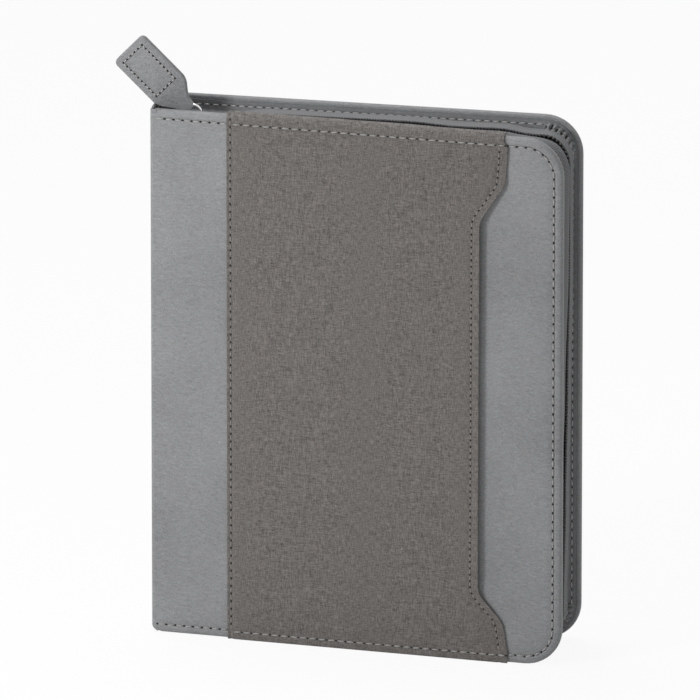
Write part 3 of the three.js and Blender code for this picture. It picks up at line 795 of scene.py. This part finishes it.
def wander(s, start, table):
    """How far the loose chain lies out of line, so many millimetres along from the spine."""
    along = (s + start) / MM
    for (near, low), (far, high) in zip(table, table[1:]):
        if along < far:
            return (low + (high - low) * smooth_step(near, far, along)) * MM
    return table[-1][1] * MM


GUSSET_SECTION = [(FLANGE_OUT, INNER - 0.43 * MM), (FLANGE_OUT - 0.8 * MM, INNER - 0.48 * MM)]
GUSSET_SECTION += [(out * MM, INNER - fall * MM) for out, fall in (
    (3.5, 0.66), (3.1, 0.5), (2.6, 0.75), (1.2, 1.0), (0.45, 1.3), (0.1, 2.0), (0, 3.2), (0, 5),
    (0, 7))]
GUSSET_SECTION += [(0.0, GUSSET_TO + 0.2 * MM)]


def gusset_place(knot, s):
    """The gusset at a knot of its section and a length along the zip line."""
    out, depth = GUSSET_SECTION[knot[1]]
    spot, outward, share = on_route(s, BACK_START, out)
    fall = knot[1] / (len(GUSSET_SECTION) - 1)
    if share >= 0:
        ends = smooth_step(0, 0.12, share) * smooth_step(0, 0.12, 1 - share)
        wave = math.cos(share * PLEATS * 2 * math.pi) * ends
        strength = smooth_step(0.12, 0.35, fall) * (1 - smooth_step(0.85, 1, fall))
        spot += outward * wave * PLEAT_DEEP * 0.5 * strength
        depth -= (wave + 0.6) * PLEAT_DEEP * strength * (1 - smooth_step(0.5, 0.85, fall))
    spot += outward * wander(s, BACK_START, BACK_WANDER) * smooth_step(0.55, 1, fall)
    spot.y = depth
    return spot


def section_columns(section):
    """A column for each knot of a section: its reach along the section, and its number."""
    reach, columns = 0.0, []
    for i, point in enumerate(section):
        if i:
            reach += math.dist(section[i - 1], point)
        columns.append((reach, i))
    return columns


# A darker copy of the covers' leather: painted shade for the gusset's shaded place inside the back
# cover. The pull's filler, the pad sleeve and the card pockets use it too.
gusset_leather = leather_paint("gusset_leather", (0.115, 0.117, 0.121, 1), (0.27, 0.274, 0.28, 1),
                               0.5, 0.08)
sheet_piece("pleated_gusset", gusset_leather, "back_cover", "back_gusset",
            section_columns(GUSSET_SECTION), route_stations(BACK_START, 5 * MM, PLEATS * 8),
            gusset_place, GUSSET_THICK, even=False)
flange_route = []
for s in route_stations(BACK_START + 2 * MM, 6 * MM, 16):
    spot, _, share = on_route(s, BACK_START + 2 * MM, FLANGE_SEAM)
    spot.y = INNER - 0.62 * MM - GUSSET_THICK / 2
    if share >= 0:
        spot.y -= PLEAT_DEEP * 0.1
    flange_route.append(spot)
pale_thread = thread_paint("pale_grey_thread", (0.34, 0.338, 0.33, 1), (0.56, 0.555, 0.545, 1))
sew("gusset_stitches", [flange_route], (0, -1, 0), "back_cover", pitch=3.9 * MM,
    thread=pale_thread, seed=6, hole=0.65)


# Zip. A twill tape on each cover carries a row of nylon coil. The front tape is sewn behind the
# cover's rim, and the loose chain stands up a little before the head's corner.
TAPE_THICK = 0.55 * MM
COIL_PITCH = 1.5 * MM
COIL_HALF = (0.42 * MM, 1.0 * MM, 0.7 * MM)
COIL_DROP = 0.5 * MM
COIL_SLANT = 0.22
COIL_END = 2 * MM
BACK_TEETH_Y = GUSSET_TO - 4.4 * MM
LINE_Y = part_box("slider_bridge")[0].y + 0.8 * MM
FRONT_TEETH_Y = LINE_Y * 2 - BACK_TEETH_Y
FRONT_WANDER = [(28, 1), (50, 5.8), (112, 6.6), (137, 6.2), (155, 6.7), (170, 5.4), (178, 7.5),
                (185, 7.4), (225, 7.0), (283, 5.6), (340, 4.0), (390, 2.5), (406, 1.5), (430, 0.5),
                (560, 0)]
tape_paint = Paint("twill_tape")
twill = tape_paint.ribs(tape_paint.cut((1, 1), 0.85), "X", 0.95)
fuzz = tape_paint.cloud(tape_paint.cut((0.5, 0.5)), 2)
twill_tape = tape_paint.finish(
    tape_paint.mix(twill.between(-1, 1) * 0.75 + fuzz * 0.25, (0.1, 0.101, 0.104, 1),
                   (0.34, 0.344, 0.352, 1)), 0.85, twill, 0.08, Specular_IOR_Level=0.25)
coil_paint = Paint("nylon_coil")
scuff = coil_paint.cloud((1.5, 1.5, 1.5), 2)
nylon_coil = coil_paint.finish(
    coil_paint.mix(scuff, (0.03, 0.03, 0.032, 1), (0.11, 0.11, 0.114, 1)), 0.35 + scuff * 0.15)


def tape(name, section, start, table, sewn, body, node, turn=None):
    """A twill tape whose section runs from its sewn edge to the coil. The share called sewn says
    how far the sewn edge follows the chain as it wanders."""
    def place(knot, s):
        out, depth = section[knot[1]]
        spot, outward, _ = on_route(s, start, out)
        share = sewn + (1 - sewn) * smooth_step(0.0, 1.0, knot[1] / (len(section) - 1))
        spot += outward * wander(s, start, table) * share
        spot.y = depth
        return spot

    sheet_piece(name, twill_tape, body, node, section_columns(section),
                route_stations(start, 5 * MM, 20), place, TAPE_THICK, turn)


def coil(name, start, table, depth, body, node, phase, turn=None):
    """A row of flattened nylon loops, at an even pitch along the route."""
    work = bmesh.new()
    for i in range(int((route_length(start) - 2 * COIL_END) / COIL_PITCH)):
        s = COIL_END + (i + phase) * COIL_PITCH
        spot, outward, _ = on_route(s, start)
        spot += outward * (wander(s, start, table) - COIL_DROP)
        spot.y = depth
        along = Vector((0, 1, 0)).cross(outward).normalized()
        slant = (along + Vector((0, 1, 0)) * COIL_SLANT).normalized()
        stamp(work, bead, placed(spot, slant, outward.cross(slant), outward, COIL_HALF))
    finished(work, name, nylon_coil, body, node, turn, merge=1e-9)


BACK_TAPE = [(0.0, GUSSET_TO + 0.3 * MM), (0.1 * MM, GUSSET_TO - 1 * MM),
             (0.0, GUSSET_TO - 2.5 * MM), (0.0, BACK_TEETH_Y - 1.9 * MM)]
FRONT_TAPE = [(out * MM, -INNER + rise * MM) for out, rise in (
    (5.2, 0.25), (5.0, 0.9), (4.2, 1.5), (2.6, 2.1), (1.2, 2.8), (0.3, 3.4))]
FRONT_TAPE += [(0.0, FRONT_TEETH_Y + 1.9 * MM)]
tape("back_twill_tape", BACK_TAPE, BACK_START, BACK_WANDER, 1.0, "back_cover", "back_zip_tape")
tape("front_twill_tape", FRONT_TAPE, FRONT_START, FRONT_WANDER, 0.0, "front_cover",
     "front_zip_tape", AJAR)
coil("back_coil", BACK_START, BACK_WANDER, BACK_TEETH_Y - 1.8 * MM, "back_cover",
     "back_zip_teeth", 0.0)
coil("front_coil", FRONT_START, FRONT_WANDER, FRONT_TEETH_Y + 1.8 * MM, "front_cover",
     "front_zip_teeth", 0.5, AJAR)


# Slider and its bridge. Two nickel plates hold the chain, and a round wire bridge on the upper
# one takes the pull. The end stops are crimped from the same metal.
nickel_paint = Paint("bright_nickel")
smear = nickel_paint.cloud((3, 3, 3), 3)
bright_nickel = nickel_paint.finish(
    nickel_paint.mix(smear, (0.62, 0.62, 0.63, 1), (0.78, 0.78, 0.79, 1)), 0.14 + smear * 0.14,
    smear, 0.01, Metallic=1.0)
slider_low, slider_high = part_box("slider_body")
bridge_low, bridge_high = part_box("slider_bridge")
BRIDGE_X = (bridge_low.x + bridge_high.x) / 2
PULL_HINGE = Vector(HINGES["pull_swing"]["pos_m"])
PLATE = 1.1 * MM
PLATE_ROUND = 1.6 * MM
POST = (3 * MM, 0.8 * MM)
POST_BACK = 2 * MM
WIRE = 0.5 * MM
WIRE_WIDER = 1.5
WIRE_LEG = 0.6 * MM
NOSE = 0.66


def block(work, size, middle):
    """Adds a box of a size round its middle, and gives its points."""
    made = bmesh.ops.create_cube(work, size=1)
    bmesh.ops.scale(work, verts=made["verts"], vec=size)
    bmesh.ops.translate(work, verts=made["verts"], vec=middle)
    return made["verts"]


def slider_plate(work, foot):
    """One plate of the slider, its nose narrowed and its corners rounded."""
    plate = block(work, (slider_high.x - slider_low.x, slider_high.y - slider_low.y, PLATE),
                  ((slider_low.x + slider_high.x) / 2, LINE_Y, foot + PLATE / 2))
    nose = [v for v in plate if v.co.x < BRIDGE_X]
    bmesh.ops.scale(work, verts=nose, vec=(1, NOSE, 1), space=Matrix.Translation((0, -LINE_Y, 0)))
    upright = [e for e in work.edges if abs(e.verts[0].co.z - e.verts[1].co.z) > PLATE / 2
               and foot - MM / 10 < e.verts[0].co.z < foot + PLATE * 1.1]
    bmesh.ops.bevel(work, geom=upright, affect="EDGES", offset=PLATE_ROUND, offset_type="OFFSET",
                    segments=4, profile=0.5, material=-1)


work = bmesh.new()
slider_plate(work, slider_high.z - PLATE)
slider_plate(work, slider_low.z)
block(work, (*POST, slider_high.z - slider_low.z - 1.2 * PLATE),
      (BRIDGE_X + POST_BACK, LINE_Y, (slider_high.z + slider_low.z) / 2))
slider = finished(work, "slider_plates", bright_nickel, "slider", "slider_body", smooth=30)
soft = slider.modifiers.new("soft_edge", "BEVEL")
soft.width = 0.25 * MM
soft.segments = 3
soft.limit_method = "ANGLE"
soft.angle_limit = math.radians(50)

work = bmesh.new()
wire_r = (bridge_high.x - bridge_low.x) / 2 - WIRE
ring = bmesh.ops.create_circle(work, segments=12, radius=WIRE,
                               matrix=Matrix.Translation((BRIDGE_X + wire_r, LINE_Y,
                                                          PULL_HINGE.z - WIRE_LEG)))
bmesh.ops.scale(work, verts=ring["verts"], vec=(1, WIRE_WIDER, 1),
                space=Matrix.Translation((0, -LINE_Y, 0)))


def drawn_out(work, edges, lift):
    """Extrudes a ring of edges straight up or down, and gives the new ring."""
    rise = bmesh.ops.extrude_edge_only(work, edges=edges)
    tip = [v for v in rise["geom"] if isinstance(v, bmesh.types.BMVert)]
    bmesh.ops.translate(work, verts=tip, vec=(0, 0, lift))
    return [e for e in rise["geom"]
            if isinstance(e, bmesh.types.BMEdge) and all(v in tip for v in e.verts)]


tip_edges = drawn_out(work, list({e for v in ring["verts"] for e in v.link_edges}), WIRE_LEG)
spun = bmesh.ops.spin(work, geom=tip_edges, cent=(BRIDGE_X, LINE_Y, PULL_HINGE.z), axis=(0, -1, 0),
                      angle=math.pi, steps=20)
last = [e for e in spun["geom_last"] if isinstance(e, bmesh.types.BMEdge)]
drawn_out(work, last, -WIRE_LEG)
bmesh.ops.holes_fill(work, edges=work.edges, sides=0)
finished(work, "wire_bridge", bright_nickel, "slider", "slider_bridge", smooth=50)


def painted(node, paint):
    """Gives a CAD node that keeps its shape a material."""
    frame["nodes"][node].data.materials.clear()
    frame["nodes"][node].data.materials.append(paint)


for node in ("zip_top_stop", "zip_end_stop"):
    painted(node, bright_nickel)


# Pull. One strip of the cover's leather is folded under the bridge and its two leaves are sewn
# together in a long rectangle, over a filler that stiffens them.
PULL_LENGTH = 40.2 * MM
PULL_HALF = 9.2 * MM
PULL_TILT = math.radians(46)
NECK_HALF = 3.2 * MM
NECK_WIDE = NECK_HALF * 1.1
NECK_FOOT = 1.8 * MM
NECK_TOP = 6.4 * MM
SHOULDER = 13.2 * MM
PULL_HALF_THICK = 1.6 * MM
PULL_SEAM = 3.2 * MM
STITCH_FOOT = 16.4 * MM
FILLER_HALF_THICK = 0.3 * MM
FILLER_SHOWS = 0.07 * MM


def cut_panel(outline, near, far, soft, corners=()):
    """A flat piece cut to an outline, from depth near to far. corners names groups of the
    outline's points with the radius each is rounded to, and the rims are softened."""
    work = bmesh.new()
    points = [work.verts.new((x, near, z)) for x, z in outline]
    work.faces.new(points)
    for group, radius in corners:
        bmesh.ops.bevel(work, geom=[points[i] for i in group], affect="VERTICES",
                        offset=radius, offset_type="OFFSET", segments=6, profile=0.5, material=-1)
    raised = bmesh.ops.extrude_face_region(work, geom=list(work.faces))["geom"]
    bmesh.ops.translate(work, verts=[v for v in raised if isinstance(v, bmesh.types.BMVert)],
                        vec=(0, far - near, 0))
    work.normal_update()
    rims = [e for e in work.edges if sum(abs(f.normal.y) > 0.9 for f in e.link_faces) == 1]
    bmesh.ops.bevel(work, geom=rims, affect="EDGES", offset=soft, offset_type="OFFSET",
                    segments=3, profile=0.5, material=-1)
    return work


LEAN = Matrix.Translation(PULL_HINGE) @ Matrix.Rotation(-PULL_TILT, 4, "Y")
PULL_OUTLINE = [(-NECK_HALF, NECK_FOOT), (NECK_HALF, NECK_FOOT), (NECK_WIDE, NECK_TOP),
                (PULL_HALF, SHOULDER), (PULL_HALF, PULL_LENGTH), (-PULL_HALF, PULL_LENGTH),
                (-PULL_HALF, SHOULDER), (-NECK_WIDE, NECK_TOP)]
work = cut_panel(PULL_OUTLINE, -PULL_HALF_THICK, PULL_HALF_THICK, 0.5 * MM,
                 [((4, 5), 2.3 * MM), ((3, 6), 2.4 * MM), ((2, 7), 2 * MM)])
finished(work, "leather_pull", grey_leather, "pull", "pull_strap", LEAN, smooth=25)
half_seam, head_seam = PULL_HALF - PULL_SEAM, PULL_LENGTH - PULL_SEAM
rectangle = [(-half_seam, STITCH_FOOT), (-half_seam, head_seam), (half_seam, head_seam),
             (half_seam, STITCH_FOOT), (-half_seam, STITCH_FOOT)]
for side in (-1, 1):
    sides = [[Vector((x0, side * PULL_HALF_THICK, z0)), Vector((x1, side * PULL_HALF_THICK, z1))]
             for (x0, z0), (x1, z1) in zip(rectangle, rectangle[1:])]
    sew("pull_stitches_front" if side < 0 else "pull_stitches_back", sides, (0, side, 0), "pull",
        pitch=2.2 * MM, turn=LEAN, seed=7 + side)
filler_half, filler_head = PULL_HALF + FILLER_SHOWS, PULL_LENGTH + FILLER_SHOWS
work = cut_panel([(-filler_half, SHOULDER + MM), (filler_half, SHOULDER + MM),
                  (filler_half, filler_head), (-filler_half, filler_head)],
                 -FILLER_HALF_THICK, FILLER_HALF_THICK, 0.1 * MM, [((2, 3), 2.3 * MM)])
finished(work, "pull_filler_leather", gusset_leather, "pull", "pull_filler", LEAN,
         smooth=45)


# Linings. Charcoal lining cloth is glued over the inner faces of the boards and of the spine, and
# its cut edges lie against the leather's turned-in lip.
LINING_IN = 2.3 * MM
LINING_ROUND = 14.5 * MM
LINING_THICK = 0.8 * MM
STRIP_ROUND = 2.5 * MM
lining_low, lining_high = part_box("back_lining")
lining_paint = Paint("lining_cloth")
lining_warp = lining_paint.cloud((0.4, 2, 4), 2, 0.6)
lining_weft = lining_paint.cloud((4, 2, 0.4), 2, 0.6)
lining_weave = lining_warp * 0.5 + lining_weft * 0.5
lining_cloth = lining_paint.finish(
    lining_paint.mix(lining_weave.between(0.3, 0.7), (0.026, 0.027, 0.03, 1),
                     (0.085, 0.087, 0.094, 1)),
    0.82, lining_weave, 0.1, Specular_IOR_Level=0.25, Sheen_Weight=0.1)


def lined(name, side, body, node):
    """The lining of one cover, drawn on the back cover's side or mirrored to the front's."""
    right = FORE_EDGE - LINING_IN
    columns = spread(COVER_LEFT + LIP_END + 0.3 * MM, right - LINING_ROUND, 8 * MM) + [
        right - LINING_ROUND * (1 - i / 10) ** 2 for i in range(1, 11)]

    def place(x, share):
        end = LINING_IN + rounded_end(LINING_ROUND, right - x)
        depth = (lining_low.y + lining_high.y) / 2
        return Vector((x, side * depth, end + (TOP - 2 * end) * share))

    piece, area = sheet_piece(name, lining_cloth, body, node, columns,
                              spread(0.0, 1.0, 0.04), place, LINING_THICK,
                              AJAR if side < 0 else None)
    right - columns[0]
    return piece


lined("back_lining_cloth", 1, "back_cover", "back_lining")
front_lining = lined("front_lining_cloth", -1, "front_cover", "front_lining")
strip_low, strip_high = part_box("spine_lining")


def strip_place(y, share):
    """The spine's lining at a place across and a share of the way up."""
    end = rounded_end(STRIP_ROUND, strip_high.y - abs(y))
    return Vector(((strip_low.x + strip_high.x) / 2, y,
                   strip_low.z + end + (strip_high.z - strip_low.z - 2 * end) * share))


spine_lining, strip_area = sheet_piece(
    "spine_lining_cloth", lining_cloth, "spine", "spine_lining",
    spread(strip_low.y, strip_high.y, 0.7 * MM), spread(0.0, 1.0, 0.03), strip_place,
    LINING_THICK)


# Boards. Grey pasteboard stiffens both covers and the spine, glued between the leather and the
# lining, and backs the writing pad. The CAD's own shapes are right, so they are only painted.
board_paint = Paint("grey_pasteboard")
fibres = board_paint.cloud((0.4, 1.2, 2.4), 4, 0.7)
flecks = board_paint.cloud((1.1, 1.1, 1.1), 2)
grey_pasteboard = board_paint.finish(
    board_paint.mix(fibres * 0.7 + flecks * 0.3, (0.17, 0.155, 0.125, 1),
                    (0.34, 0.315, 0.265, 1)), 0.88, fibres, 0.05)
for node in ("back_board", "front_board", "spine_board", "pad_card"):
    painted(node, grey_pasteboard)


# Pad sleeve. A leather panel sewn to the back lining at its two sides and foot takes the writing
# pad's card from above. Its mouth is turned over and hemmed.
LEAF_THICK = 0.8 * MM
LEAF_ROUND = 2.2 * MM
LEAF_SEAM = 2.2 * MM
LEAF_HEM = 5 * MM
LEAF_SINK = 0.12 * MM
LEAF_DIP = 0.6 * MM
LEAF_PLAIN = 10 * MM
LEAF_STEP = 8 * MM
LEAF_EDGE = [0, 0.5, 1.0, 1.5, 1.9, 2.2, 2.5, 3.0, 3.6, 4.4, 4.8, 5.0, 5.2, 5.8, 7, 9]


def leaf_rows(length):
    """Values over a length, close together at its two ends where the seams run."""
    ends = [value * MM for value in LEAF_EDGE]
    return (ends + spread(LEAF_PLAIN, length - LEAF_PLAIN, LEAF_STEP)
            + [length - value for value in reversed(ends)])


def pocket_leaf(name, node, body, paint, left, right, foot, tops, depth, inward, turn=None,
                seed=20):
    """A pocket's front panel, sewn at both sides and the foot, with a hem along its mouth. tops
    holds the mouth's height at the left and the right, and inward is -1 or 1 along Y."""
    tall = max(tops) - foot

    def head(x):
        return tops[0] + (tops[1] - tops[0]) * (x - left) / (right - left)

    def place(across, up):
        x = left + across
        end = rounded_end(LEAF_ROUND, min(across, right - x))
        z = foot + end + (head(x) - foot - 2 * end) * up / tall
        sink = max(dip(across - LEAF_SEAM, LEAF_DIP), dip(right - x - LEAF_SEAM, LEAF_DIP),
                   dip(z - foot - LEAF_SEAM, LEAF_DIP), dip(head(x) - z - LEAF_HEM, LEAF_DIP))
        return Vector((x, depth - inward * LEAF_SINK * sink, z))

    piece, area = sheet_piece(name, paint, body, node, leaf_rows(right - left),
                              leaf_rows(tall), place, LEAF_THICK, turn)
    face = depth + inward * (LEAF_THICK / 2 - LEAF_SINK * 0.8)
    first, last, low_seam = left + LEAF_SEAM, right - LEAF_SEAM, foot + LEAF_SEAM
    routes = [[(first, face, tops[0] - LEAF_SEAM), (first, face, low_seam),
               (last, face, low_seam), (last, face, tops[1] - LEAF_SEAM)],
              [(x, face, head(x) - LEAF_HEM) for x in (first, last)]]
    sew(name + "_stitches", routes, (0, inward, 0), body, pitch=3.2 * MM, thread=pale_thread,
        turn=turn, seed=seed)
    return piece, area


low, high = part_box("pad_sleeve")
pocket_leaf("pad_sleeve_leather", "pad_sleeve", "back_cover", gusset_leather,
            low.x, high.x, low.z, (high.z, high.z), (low.y + high.y) / 2, -1)


# Writing pad. A block of ruled leaves is bound to its card by a strip of cloth tape, which is
# folded over the head. The card is the CAD's own.
PAD_ROUND = 2.5 * MM
PAGE_DROP = 0.6 * MM
TAPE_WALL = 0.5 * MM
RULE_PITCH = 7.1
low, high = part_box("pad_pages")
binding_low, binding_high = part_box("pad_binding")
page_face = (low.y + PAGE_DROP) / MM
paper_paint = Paint("ruled_paper")
page_depth = paper_paint.axis(paper_paint.spot(), "Y")
on_face = page_depth.between(page_face + 0.3, page_face + 0.1)
rules = paper_paint.ribs(paper_paint.spot(), "Z", RULE_PITCH).between(0.984, 0.995)
leaves = paper_paint.ribs(paper_paint.spot(), "Y", 0.34)
mottle = paper_paint.cloud((0.6, 0.6, 0.6), 3)
sheet_tone = paper_paint.mix(mottle, (0.83, 0.82, 0.775, 1), (0.9, 0.89, 0.85, 1))
edge_tone = paper_paint.mix(leaves.between(-1, 1) * (1 - on_face), sheet_tone,
                            (0.52, 0.505, 0.465, 1))
ruled_paper = paper_paint.finish(
    paper_paint.mix(rules * on_face * 0.75, edge_tone, (0.33, 0.42, 0.56, 1)), 0.82,
    leaves + mottle * 0.3, 0.07)
head = binding_high.z - 1.2 * MM
work = cut_panel([(low.x, low.z), (high.x, low.z), (high.x, head), (low.x, head)],
                 low.y + PAGE_DROP, high.y, 0.12 * MM, [((0, 1), PAD_ROUND)])
pages = finished(work, "ruled_pages", ruled_paper, "back_cover", "pad_pages")
fold_round = (binding_high.y - binding_low.y - TAPE_WALL) / 2
fold_depth = (binding_high.y + binding_low.y) / 2
straight = binding_high.z - TAPE_WALL / 2 - fold_round - binding_low.z
bend = fold_round * math.pi


def binding_place(x, s):
    """The binding at length s: up the face, over the head and down behind the card."""
    if s <= straight:
        return Vector((x, fold_depth - fold_round, binding_low.z + s))
    if s <= straight + bend:
        turn = (s - straight) / fold_round
        return Vector((x, fold_depth - fold_round * math.cos(turn),
                       binding_low.z + straight + fold_round * math.sin(turn)))
    return Vector((x, fold_depth + fold_round, binding_low.z + 2 * straight + bend - s))


binding_paint = Paint("binding_tape")
binding_warp = binding_paint.ribs(binding_paint.cut(), "X", 0.5)
binding_weft = binding_paint.ribs(binding_paint.cut(), "Y", 0.5)
binding_slub = binding_paint.cloud(binding_paint.cut((1.2, 1.2)), 3)
binding_weave = binding_warp * binding_weft * 0.3 + binding_slub
binding_tape = binding_paint.finish(
    binding_paint.mix(binding_weave.between(0.2, 0.9), (0.1, 0.092, 0.086, 1),
                      (0.21, 0.195, 0.183, 1)), 0.85, binding_weave, 0.09)
binding_steps = (spread(0, straight, 1.5 * MM) + spread(straight, straight + bend, bend / 14)[1:]
                 + spread(straight + bend, 2 * straight + bend, 1.5 * MM)[1:])
binding, _ = sheet_piece(
    "binding_tape_cloth", binding_tape, "back_cover", "pad_binding",
    spread(binding_low.x, binding_high.x, 6 * MM), binding_steps, binding_place, TAPE_WALL)


# Pen loop. Ribbed elastic stands up in a loop beside the pad, and its two ends are sewn flat to
# the back lining.
low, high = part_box("pen_loop")
LOOP_WALL = 1.1 * MM
LOOP_TAIL = 3.4 * MM
LOOP_FLARE = 3.2 * MM
LOOP_FOOT = math.radians(38)
LOOP_STEPS = 32
loop_x, loop_y = (low.x + high.x) / 2, (low.y + high.y) / 2
loop_r = (high.x - low.x - LOOP_WALL) / 2
lining_face = high.y - LOOP_WALL / 2
elastic_paint = Paint("ribbed_elastic")
cords = elastic_paint.ribs(elastic_paint.cut(), "Y", 0.95)
yarns = elastic_paint.ribs(elastic_paint.cut(), "X", 0.6)
lint = elastic_paint.cloud(elastic_paint.cut((0.8, 0.8)), 2)
ribbed_elastic = elastic_paint.finish(
    elastic_paint.mix(cords.between(-1, 1) * 0.7 + lint * 0.3, (0.022, 0.022, 0.024, 1),
                      (0.1, 0.101, 0.106, 1)),
    0.8, cords + yarns * 0.35, 0.16, Specular_IOR_Level=0.3)
side_x = loop_r * math.sin(LOOP_FOOT)
flare_x = loop_x - side_x - LOOP_FLARE
LOOP_PATH = [(flare_x - LOOP_TAIL, lining_face), (flare_x, lining_face),
             (flare_x + LOOP_FLARE / 2, lining_face - 0.15 * MM)]
for i in range(LOOP_STEPS + 1):
    turn = LOOP_FOOT + (2 * math.pi - 2 * LOOP_FOOT) * i / LOOP_STEPS
    LOOP_PATH.append((loop_x - loop_r * math.sin(turn), loop_y + loop_r * math.cos(turn)))
LOOP_PATH += [(2 * loop_x - x, y) for x, y in reversed(LOOP_PATH[:3])]
sheet_piece("pen_loop_elastic", ribbed_elastic, "back_cover", "pen_loop",
            section_columns(LOOP_PATH), spread(low.z, high.z, 3 * MM),
            lambda knot, z: Vector((*LOOP_PATH[knot[1]], z)), LOOP_WALL)
tail_x = side_x + LOOP_FLARE + LOOP_TAIL / 2
tail_runs = [[(loop_x + side * tail_x, lining_face - LOOP_WALL / 2, z)
              for z in (low.z + MM, high.z - MM)] for side in (-1, 1)]
sew("pen_loop_stitches", tail_runs, (0, -1, 0), "back_cover", pitch=2.6 * MM, thread=pale_thread,
    seed=12)


# File pocket. A panel of lining cloth with a sloping hemmed mouth is sewn to the front lining. It
# is drawn with the folder closed and turned with the front cover.
POCKET_LAYERS = [-11.25 * MM, -10.05 * MM, -8.85 * MM, -7.65 * MM]
FILE_LEFT, FILE_RIGHT, FILE_FOOT = 30 * MM, 174 * MM, 12 * MM
FILE_TOPS = (132 * MM, 162 * MM)
file_pocket, file_area = pocket_leaf(
    "file_pocket_cloth", "file_pocket", "front_cover", lining_cloth, FILE_LEFT,
    FILE_RIGHT, FILE_FOOT, FILE_TOPS, POCKET_LAYERS[0], 1, AJAR, 13)


# Card pockets. Three leather panels lie one over the other on the file pocket, each lower than
# the one behind it, so that a card shows above each mouth.
CARD_LEFT, CARD_RIGHT, CARD_FOOT = 44 * MM, 148 * MM, 14 * MM
CARD_TOPS = (120 * MM, 96 * MM, 72 * MM)
for i, card_top in enumerate(CARD_TOPS):
    pocket_leaf("card_pocket_leather_%d" % (i + 1), "card_pocket_%d" % (i + 1), "front_cover",
                gusset_leather, CARD_LEFT, CARD_RIGHT, CARD_FOOT, (card_top, card_top),
                POCKET_LAYERS[i + 1], 1, AJAR, 14 + i)
